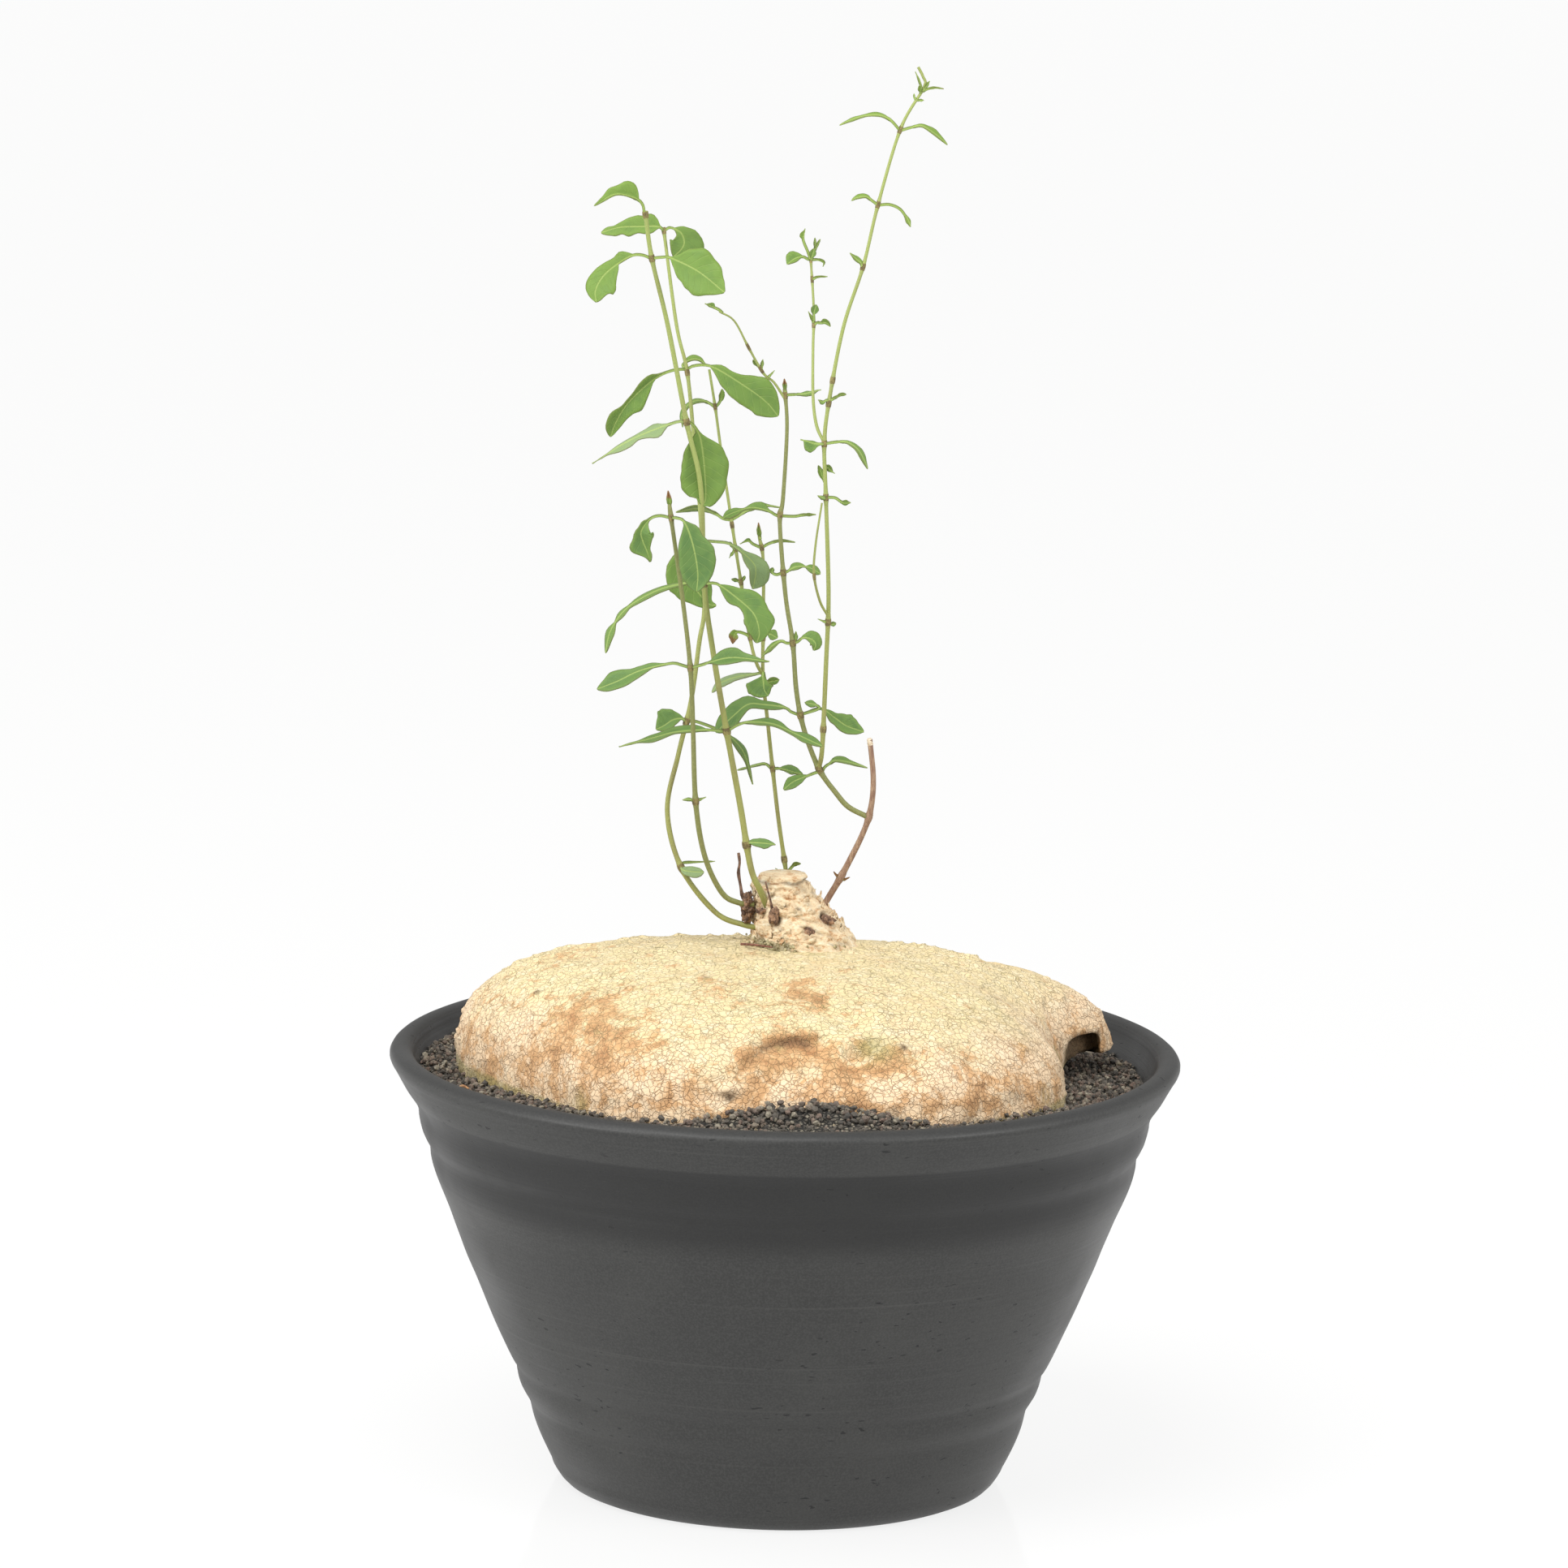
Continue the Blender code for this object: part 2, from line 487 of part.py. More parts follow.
def leaf(name, parent, height, knee, tip, width, face, home):
    """A stalked oval leaf, bent along a curve from the stem through its knee to its tip."""
    node, along, stem_radius = stem_at(*parent, height)
    start = node + sideways(Vector(knee), along) * (stem_radius + GAP + LEAF_THICKNESS / 2)
    bend, end = node + Vector(knee), node + Vector(tip)
    upper = Vector((0, -math.sin(math.radians(face)), math.cos(math.radians(face))))
    bm = bmesh.new()
    bmesh.ops.create_grid(bm, x_segments=2, y_segments=8, size=1.0)
    for vertex in bm.verts:
        side, t = vertex.co.x, (vertex.co.y + 1) / 2
        middle = (1 - t) ** 2 * start + 2 * t * (1 - t) * bend + t * t * end
        run = ((1 - t) * (bend - start) + t * (end - bend)).normalized()
        across = run.cross(upper).normalized()
        half = PETIOLE_WIDTH / 2
        if t > PETIOLE_SHARE:
            blade = (t - PETIOLE_SHARE) / (1 - PETIOLE_SHARE)
            half = max(0.3, width / 2 * math.sin(math.pi * blade**1.1) ** 0.75 if blade < 1 else 0.0)
        cup = 0.16 * half * abs(side)
        vertex.co = (middle + across * side * half + across.cross(run) * cup) * MM
    made = mesh_object(name, bm, home, "leaf")
    thickness = made.modifiers.new("Thickness", "SOLIDIFY")
    thickness.thickness = LEAF_THICKNESS * MM
    thickness.offset = 0.0
    return made


def main():
    for old in list(bpy.data.objects):
        bpy.data.objects.remove(old)
    home = collection("Potted raphionacme")
    cutters = collection("Cutters")
    pot(home)
    drain_screen(home, cutters)
    soil(home, cutters)
    caudex(home, cutters)
    grown = {}
    for name, (foot_radius, tip_radius, route) in STEMS.items():
        grown[name] = (route, (foot_radius, tip_radius))
    for name, (parent, height, foot_radius, tip_radius, rest) in BRANCHES.items():
        route = branch_route(grown[parent], height, foot_radius, rest)
        grown[name] = (route, (foot_radius, tip_radius))
    for name, (route, radii) in grown.items():
        woody = name.startswith(("dead", "stub"))
        stem(name, route, radii, home, "woody_stem" if woody else "green_stem")
    for name, (parent, height, knee, tip, width, face) in LEAVES.items():
        leaf(name, grown[parent], height, knee, tip, width, face, home)


main()
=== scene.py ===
"""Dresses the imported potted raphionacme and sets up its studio.

Metres, +Z up, the front towards -Y. The tables hold millimetres, and MM turns them into metres.
"""

import bisect
import math
import random

import bmesh
import bpy
from bpy.props import FloatProperty, FloatVectorProperty, IntProperty, PointerProperty
from mathutils import Matrix, Vector, noise


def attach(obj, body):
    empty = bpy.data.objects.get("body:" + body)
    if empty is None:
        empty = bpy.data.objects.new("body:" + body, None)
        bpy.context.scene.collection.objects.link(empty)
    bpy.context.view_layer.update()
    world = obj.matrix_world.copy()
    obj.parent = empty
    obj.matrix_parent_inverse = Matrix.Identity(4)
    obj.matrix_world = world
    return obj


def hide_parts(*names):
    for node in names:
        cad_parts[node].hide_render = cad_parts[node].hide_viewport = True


bl_info = {
    "name": "Potted raphionacme",
    "version": (1, 0, 0),
    "blender": (4, 5, 0),
    "location": "3D View > Sidebar > Raphionacme",
    "description": "Builds a caudiciform plant in a turned pot around its packed frame",
    "category": "Add Mesh",
}

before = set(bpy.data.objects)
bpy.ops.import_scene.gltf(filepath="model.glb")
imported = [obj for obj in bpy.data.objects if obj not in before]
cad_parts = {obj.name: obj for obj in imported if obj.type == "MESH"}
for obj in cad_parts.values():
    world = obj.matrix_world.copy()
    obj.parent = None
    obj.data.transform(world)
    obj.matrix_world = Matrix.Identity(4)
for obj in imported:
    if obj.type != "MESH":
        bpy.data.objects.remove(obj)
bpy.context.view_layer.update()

MM = 0.001
BODY = "root"
# Points closer than this, in metres, are one
SAME_PLACE = 0.00001
# Near-black of the painted shade in the pot's pits, on its lip and on its inner wall
PAINTED_SHADE_BLACK = (0.008, 0.008, 0.008)

# Studio, in metres: each lamp's place, its size, and which of the stage's looks is its power
LAMPS = {
    "key_lamp": ((-0.5, -0.9, 2.0), 1.5, "key"),
    "right_lamp": ((1.6, -0.9, 1.0), 1.0, "right"),
    "left_lamp": ((-1.7, -1.0, 0.7), 1.2, "left"),
}
LAMP_AIM = (0.0, 0.0, 0.15)
FLOOR_HALF = 14.0
# Camera: its place, its focal length in millimetres, and how far it looks down and leans, in degrees
CAMERA_PLACE, CAMERA_LENS, CAMERA_DOWN, CAMERA_ROLL = (-0.0020, -2.4, 0.6502), 185.9, 10.282, 1.129

# ---------------------------------------------------------------------------------------------
# Shapes shared with the frame, in millimetres
# ---------------------------------------------------------------------------------------------

# Pot from the lip's top down the outside to the foot, then up the inside, as (radius, height)
POT_PROFILE = [
    (116.4, 133.8), (117.6, 133.6), (118.7, 133.1), (119.5, 132.4), (120.0, 131.5), (120.0, 130.7),
    (119.6, 129.7), (118.9, 128.6), (118.0, 127.0), (116.7, 124.6), (115.4, 122.3), (113.9, 120.2),
    (112.9, 118.8), (112.2, 117.6), (111.6, 116.3), (111.1, 114.6), (110.9, 112.6), (110.5, 110.8),
    (109.9, 108.6), (109.0, 106.6), (108.2, 105.2), (107.6, 103.8), (107.4, 102.2), (107.3, 100.4),
    (106.8, 98.0), (106.0, 95.4), (104.8, 92.3), (103.4, 89.0), (101.8, 85.2), (100.2, 80.9),
    (98.4, 76.2), (96.2, 70.3), (93.5, 63.9), (90.9, 57.6), (88.3, 51.4), (85.6, 45.1), (83.5, 40.6),
    (82.1, 38.0), (81.1, 36.6), (80.5, 35.4), (80.3, 33.8), (79.9, 31.9), (79.1, 29.6), (78.0, 27.6),
    (76.9, 25.8), (76.2, 24.2), (75.8, 22.4), (75.2, 19.8), (74.3, 17.0), (72.9, 13.6), (71.2, 10.0),
    (69.6, 6.8), (68.2, 4.2), (67.0, 2.4), (65.6, 1.0), (63.8, 0.2), (61.5, 0.0), (53.5, 0.0),
    (52.9, 0.6), (52.5, 3.0), (13.5, 3.0), (12.4, 3.4), (12.0, 4.5), (12.0, 8.0), (60.0, 8.0),
    (66.0, 11.0), (70.0, 17.0), (85.5, 59.0), (101.0, 101.0), (105.6, 117.0), (109.2, 124.0),
    (111.7, 128.4), (112.8, 130.8), (113.3, 132.2), (114.0, 133.1), (115.1, 133.6),
]
POT_STEPS = 180
# Painted shade darkens the lip and the inside, over these heights and radii in metres
LIP_HEIGHTS, INSIDE_HEIGHTS, INSIDE_RADII = (0.1315, 0.1332), (0.09, 0.1), (0.1129, 0.1137)
# Inner wall beside the grit, as (height, radius)
INNER_WALL = [(8.0, 60.0), (17.0, 70.0), (101.0, 101.0), (117.0, 105.6), (130.6, 112.9), (134.0, 113.6)]
# Loose grains come in so many shapes, and are gathered in batches to keep the joining quick
GRAIN_SHAPES, GRAIN_BATCH = 14, 150
# They lie between these radii, and sink or stand out by these shares of their width
GRAIN_RING, GRAIN_LIFT = (60.0, 113.0), (-0.15, 0.75)
# Surface of the grit: its level, its fall to the right, its rise to the front, and a heap
SOIL_LEVEL, SOIL_FALL, SOIL_FRONT = 125.5, 0.012, 4.5
HEAP_X, HEAP_Y, HEAP_WIDTH, HEAP_DEPTH, HEAP_HEIGHT = 6.0, -97.0, 30.0, 9.0, 7.0

# Plan of the tuber at its waist, as (turn in degrees from +X, radius), and its other sizes
TUBER_PLAN = [
    (0, 81), (15, 80), (35, 82), (60, 78), (90, 74), (120, 79), (150, 91), (180, 99.5), (200, 95.5),
    (216, 94.5), (230, 98), (245, 103.5), (258, 100.5), (270, 96.5), (282, 98), (296, 103.5),
    (310, 101.5), (322, 99), (331, 95.5), (342, 86.5),
]
TUBER_SHOULDER = [
    (0, 2.3), (45, 2.15), (90, 2.1), (135, 2.5), (180, 3.3), (225, 3.0), (270, 2.7), (315, 2.5),
]
TUBER_WAIST, TUBER_RISE, TUBER_DEPTH, TUBER_UNDER = 125.0, 41.8, 47.0, 2.2
TUBER_BACK_SLOPE = 0.08
LOBE_TURN, LOBE_SPREAD, LOBE_REACH = 11.5, 12.0, 22.0
LOBE_FOOT, LOBE_FULL, LOBE_FADE, LOBE_TOP = 127.0, 132.5, 138.0, 158.0
# Broad dents of the form: centre, reach and depth, below 0 for a bulge
DENTS = [
    ((2, -92, 147), 8, 2.2), ((22, -90, 147.5), 7.5, 3.6), ((33, -86, 144.5), 4.5, 2.0),
    ((-48, -80, 150), 14, -1.5), ((13, -91, 140), 6, -1.8), ((45, -86, 142), 10, -1.5),
    ((-8, -93, 139), 7, 1.2),
    ((-46, -4, 166), 28, 1.2), ((66, 4, 157), 22, -2.6),
]

# Fine relief of the tuber. The brow is a fold of the skin, as (x, z) along its front.
BROW = [
    (-13.5, 146.5), (-11.8, 148.9), (-9.6, 151.0), (-6.6, 152.7), (-2.5, 153.6), (3.6, 154.3), (8.6, 153.4),
]
# Waves of the skin, from broad to fine: height, width, and a shift that sets them apart
SKIN_WAVES = [(0.8, 16.0, (0, 0, 0)), (0.5, 6.5, (3, 1, 8)), (0.25, 2.6, (9, 4, 2)), (0.14, 1.2, (0, 0, 0))]
# Ridge over the brow's fold and the fold: how far they stand out, how high they lie, and their reach
BROW_RIDGE, BROW_FOLD = (2.0, 3.2, 3.0), (-2.8, -1.7, 2.1)
# Hollow at the grit under the right lobe, pushed back and darkened with painted shade: its middle, half its
# width and height, and its depth
HOLLOW_X, HOLLOW_Z, HOLLOW_WIDTH, HOLLOW_HEIGHT, HOLLOW_DEPTH = 89.6, 130.0, 5.8, 8.6, 11.0
# Warts, buds and pits: centre, reach, height, and how dark they are
WARTS = [
    ((-20.5, -85.5, 152.3), 1.5, 0.9, 0.5), ((-16.6, -95.5, 141.2), 2.0, 1.9, -0.6),
    ((-16.2, -96.0, 138.9), 1.6, -1.7, 1.0), ((8.8, -88.0, 146.8), 1.2, 0.7, 0.7),
    ((33.7, -81.5, 151.8), 1.5, 2.6, 0.9), ((33.4, -82.5, 148.8), 1.8, -1.2, 0.5),
    ((-74.0, -33.3, 155.9), 1.3, 0.8, 0.9), ((-24.0, -47.5, 164.3), 1.8, 0.5, 0.6),
    ((-13.0, -64.3, 161.4), 1.6, 0.2, 0.5), ((62.0, -32.4, 156.9), 1.8, 0.5, 0.5),
    ((69.0, -20.0, 156.5), 2.2, 0.9, 0.3), ((33.0, 3.0, 164.6), 3.0, 0.9, 0.1),
    ((-82.0, 2.0, 159.5), 3.0, 1.2, 0.0), ((-60.0, 2.0, 165.0), 3.0, 0.8, 0.0),
    ((80.0, 6.0, 150.0), 2.5, 1.3, 0.2), ((57.0, -40.0, 155.0), 1.5, 0.5, 0.6),
    ((44.0, -64.0, 155.0), 2.5, 0.6, 0.2), ((-36.0, -88.0, 147.0), 4.0, 0.8, 0.0),
    ((66.0, -74.0, 139.0), 4.0, 0.9, 0.2), ((20.0, -94.0, 139.5), 5.0, 1.0, -0.2),
]
# Orange-brown patches and green tints on the skin: centre, reach and strength
RUST_PATCHES = [
    ((-66, -60, 146), 24, 0.75), ((-50, -78, 145), 16, 0.9), ((-30, -95, 136), 18, 0.65),
    ((-8, -88, 139), 14, 0.75), ((4, -60, 160), 14, 0.6), ((-20, -55, 160), 9, 0.5),
    ((-60, -20, 162), 16, 0.45), ((22, -84, 150), 9, 0.7),
    ((-88, -20, 146), 18, 0.25), ((-6, -86, 149), 9, 0.8), ((14, -88, 147), 9, 0.8),
    ((28, -86, 146), 11, 0.75), ((54, -82, 139), 13, 0.7), ((70, -66, 142), 13, 0.7),
    ((86, -2, 141), 10, 0.8), ((12, -95, 137), 10, 0.5), ((-75, -35, 150), 16, 0.35),
]
MOSS_PATCHES = [
    ((26, -82, 151), 9, 0.8), ((65, -48, 152), 22, 0.5), ((76, -60, 132), 9, 0.55),
    ((-60, -78, 131), 10, 0.6), ((83, -20, 134), 9, 0.8), ((-2, -92, 133), 8, 0.35),
    ((-1, -14, 166), 9, 0.7), ((8, -18, 166), 8, 0.55), ((40, -50, 159), 22, 0.35),
    ((-40, -50, 161), 18, 0.3), ((-88, -24, 131), 10, 0.5),
]

# Woody neck, as (height, centre x, radius), and the foot that spreads to its right
NECK = [
    (160.0, 5.8, 19.5), (165.0, 5.2, 17.2), (168.0, 4.6, 15.6), (171.0, 3.7, 14.3), (174.5, 2.2, 12.7),
    (178.0, 0.7, 11.0), (181.0, -1.1, 9.8), (184.0, -2.2, 8.8), (185.5, -2.4, 8.3), (186.1, -1.7, 7.5),
    (187.0, -1.5, 7.1), (187.4, -1.5, 6.8),
]
NECK_HOLES = [
    ((11.6, -7.0, 174.6), 2.1, 2.8), ((6.0, -12.0, 171.8), 1.6, 1.8), ((3.2, -11.0, 178.6), 0.8, 0.9),
    ((-3.2, -10.6, 174.6), 1.5, 1.4), ((-8.6, -8.0, 177.2), 0.9, 0.8), ((8.4, -9.6, 179.5), 0.8, 0.6),
]
CAP_CREASE = 185.6
# Dark ragged burls of the neck: centre and radii
KNOTS = [
    ((-12.4, -3.5, 177.3), (1.8, 3.4, 4.3)), ((-4.4, -11.0, 176.4), (1.5, 1.4, 2.8)),
    ((-8.4, -8.8, 177.6), (1.4, 1.0, 1.1)), ((12.0, -7.4, 174.9), (2.2, 1.1, 1.4)),
    ((6.4, -12.6, 172.0), (1.5, 1.0, 1.5)),
]
# Ringed scar: its place, the way it faces, and its half profile as (radius, height)
SCAR_CENTRE, SCAR_FACING = (-7.4, -9.8, 172.6), (-0.35, -1.0, 0.1)
SCAR_PROFILE = [
    (2.6, -1.6), (2.7, -0.2), (2.3, 0.5), (1.9, 0.2), (1.6, 0.7), (1.2, 0.35), (0.9, 0.75), (0.4, 0.5),
    (0.0, 0.55),
]
# Flakes of cork: how many, and the ranges of their height up the neck, their length and their width
FLAKES, FLAKE_HEIGHTS, FLAKE_LENGTHS, FLAKE_WIDTHS = 170, (168.0, 183.5), (1.8, 5.0), (0.9, 2.4)
FLAKE_THICKNESS = 0.35
# Tufts of moss: how many, the ring they stand in, as centre x and radii, their heights and their widths
TUFTS, MOSS_X, MOSS_RING, MOSS_HEIGHTS, MOSS_WIDTHS = 190, 4.4, (14.8, 17.2), (165.8, 168.8), (0.5, 1.4)
# Litter: a needle on the tuber and a chip on the grit
NEEDLE = [(-13.9, -9.4, 167.3), (-9.5, -14.0, 168.0), (-4.6, -18.2, 168.3)]
CHIP = [(-96.8, -50.5, 130.2), (-95.5, -51.5, 131.2), (-93.8, -52.4, 130.6)]

# Stems: radius at the foot, radius at the tip, and the route from foot to tip
STEMS = {
    "stem_front": (1.0, 0.65, [
        (-6.2, -6.8, 178), (-8.6, -9.2, 184), (-11.5, -10, 191), (-15, -11, 210), (-19.5, -13, 233),
        (-23.5, -14.5, 254.5), (-27, -16.5, 278), (-28.5, -19, 307.5), (-33, -20.5, 327), (-39, -23, 356),
        (-44, -25, 376), (-46.2, -26, 390)]),
    "stem_left_tall": (0.85, 0.5, [
        (-9.5, -4, 171.5), (-13.5, -4, 172.2), (-22, -3, 175.7), (-32.5, -2, 189), (-37, -0.5, 206),
        (-34, 1, 223), (-30.5, 2.5, 239), (-28.3, 5, 257), (-27, 6.5, 267), (-28, 9, 287), (-31, 13, 316),
        (-33.5, 16, 337), (-37, 18, 351), (-41.5, 22, 380)]),
    "stem_left_short": (0.85, 0.6, [
        (-10.5, -4.5, 178.4), (-15, -6, 179.3), (-20, -7.5, 182.5), (-25.3, -10.5, 194), (-28.3, -14.5, 211),
        (-29.5, -20, 235.5), (-30.5, -24.5, 253.5), (-33, -28, 274), (-37, -32, 300.5), (-37.4, -32.4, 304)]),
    "stem_centre": (0.7, 0.5, [
        (0, 6, 179), (-1, 9, 187), (-3.8, 9.6, 204.5), (-7.3, 12, 231.5), (-9, 13.5, 246), (-9.2, 15.2, 262),
        (-9.6, 17.5, 280), (-11, 18.2, 287.5)]),
    "stub_right": (0.95, 0.8, [
        (10, 4, 175.5), (12.5, 4.6, 180), (16.2, 3, 187), (22, 0, 200), (24.3, -2.5, 208.5),
        (24.8, -4.5, 218), (23.5, -6, 230)]),
    "dead_twig_left": (0.5, 0.35, [
        (-10.8, -2, 178.2), (-13.6, -3, 180.2), (-14.5, -3, 184), (-15.2, -3, 188), (-14.9, -3, 191),
        (-15.3, -3, 194)]),
    "dead_twig_front": (0.45, 0.25, [
        (-4, -8, 175.5), (-4.8, -10.4, 178.5), (-5.6, -11.2, 182), (-7, -11.8, 187)]),
}
# Branches: parent, height of the fork, radius at the foot, radius at the tip, and the rest of the route
BRANCHES = {
    "twig_centre": ("stem_centre", 246, 0.55, 0.4, [
        (-11.2, 12, 250), (-13.2, 12.8, 257.5), (-16.2, 13.8, 274), (-19.2, 16, 291), (-23, 19.3, 313.5),
        (-25, 21.8, 326), (-27, 24, 337)]),
    "stem_right": ("stub_right", 205.5, 0.85, 0.55, [
        (17.6, -2.5, 208.6), (13.6, -2.8, 213), (8.4, -2.6, 220.2), (3.7, -2.3, 232), (1.2, -2, 243.5),
        (-0.2, -0.8, 258), (-2.7, 0.6, 272.5), (-4.8, 2.6, 294), (-4, 3.2, 301),
        (-3.2, 5, 322), (-4.1, 6, 334)]),
    "stem_tall": ("stem_right", 220.5, 0.75, 0.45, [
        (9.3, -5.8, 228), (9.9, -8, 254), (10.2, -10, 274), (8.8, -11.8, 304), (8, -11.2, 320),
        (9.2, -10.8, 333), (13, -10.2, 355), (18.5, -8.3, 373), (22.5, -5.6, 391), (28.8, -2.2, 413.5),
        (35.4, -0.2, 425.5), (35.2, 0, 428.5), (33.6, 0, 431.6)]),
    "twig_fork": ("stem_tall", 320.5, 0.5, 0.35, [
        (5.6, -8.4, 325), (4.4, -5.5, 333), (4.1, -0.7, 347), (4.1, 3, 358), (2.9, 8, 373)]),
    "twig_side": ("stem_tall", 268, 0.42, 0.3, [
        (7.6, -13.6, 273), (5.7, -17.2, 281.5), (6, -19.7, 291), (7.6, -22, 303.7)]),
    "twig_top_left": ("stem_right", 331, 0.42, 0.28, [
        (-7.4, 4.9, 336), (-10.5, 3.7, 338.7), (-15, 1.3, 346.5), (-19.5, -1.7, 355), (-24, -4, 358)]),
}
STEM_SHADES = {
    "stem_front": "olive", "stem_left_tall": "olive", "stem_left_short": "brown", "stem_right": "brown",
}
WOODY = ("stub_right", "dead_twig_left", "dead_twig_front")
# Heights of the joints on each stem, where leaves or leaf scars sit
JOINTS = {
    "stem_front": (198, 233, 278, 327, 376, 389), "stem_left_tall": (189, 233, 287, 337, 379),
    "stem_left_short": (211.8, 254, 300), "stem_centre": (190, 217.5, 243, 257, 284),
    "stub_right": (186, 205.5), "twig_centre": (257.4, 274, 284, 291, 326),
    "stem_right": (220, 236.4, 258, 279, 296.4, 332), "twig_side": (281,), "twig_top_left": (340, 347),
    "stem_tall": (233, 266, 304, 320, 332, 339, 372.7, 391, 413), "twig_fork": (354, 367, 372.7),
    "dead_twig_left": (180.5, 187.5, 193), "dead_twig_front": (178,),
}

# Joints swell by this share of the stem, over this reach
SWELLING, JOINT_REACH = 0.38, 1.5
# Pale wood on the cut of the stub
STUB_CUT = [(23.7, -5.8, 228.4), (23.5, -6, 229.4), (23.3, -6.1, 230.3)]

# Rows of a blade's grid, half width of a stalk, and the line along which a point comes nearer to the
# camera
LEAF_ROWS, STALK_HALF, NEARER = 34, 0.42, Vector((0.0, -1.0, 0.18))
# Thickness of a stalk, in metres
STALK_THICKNESS = 0.0009
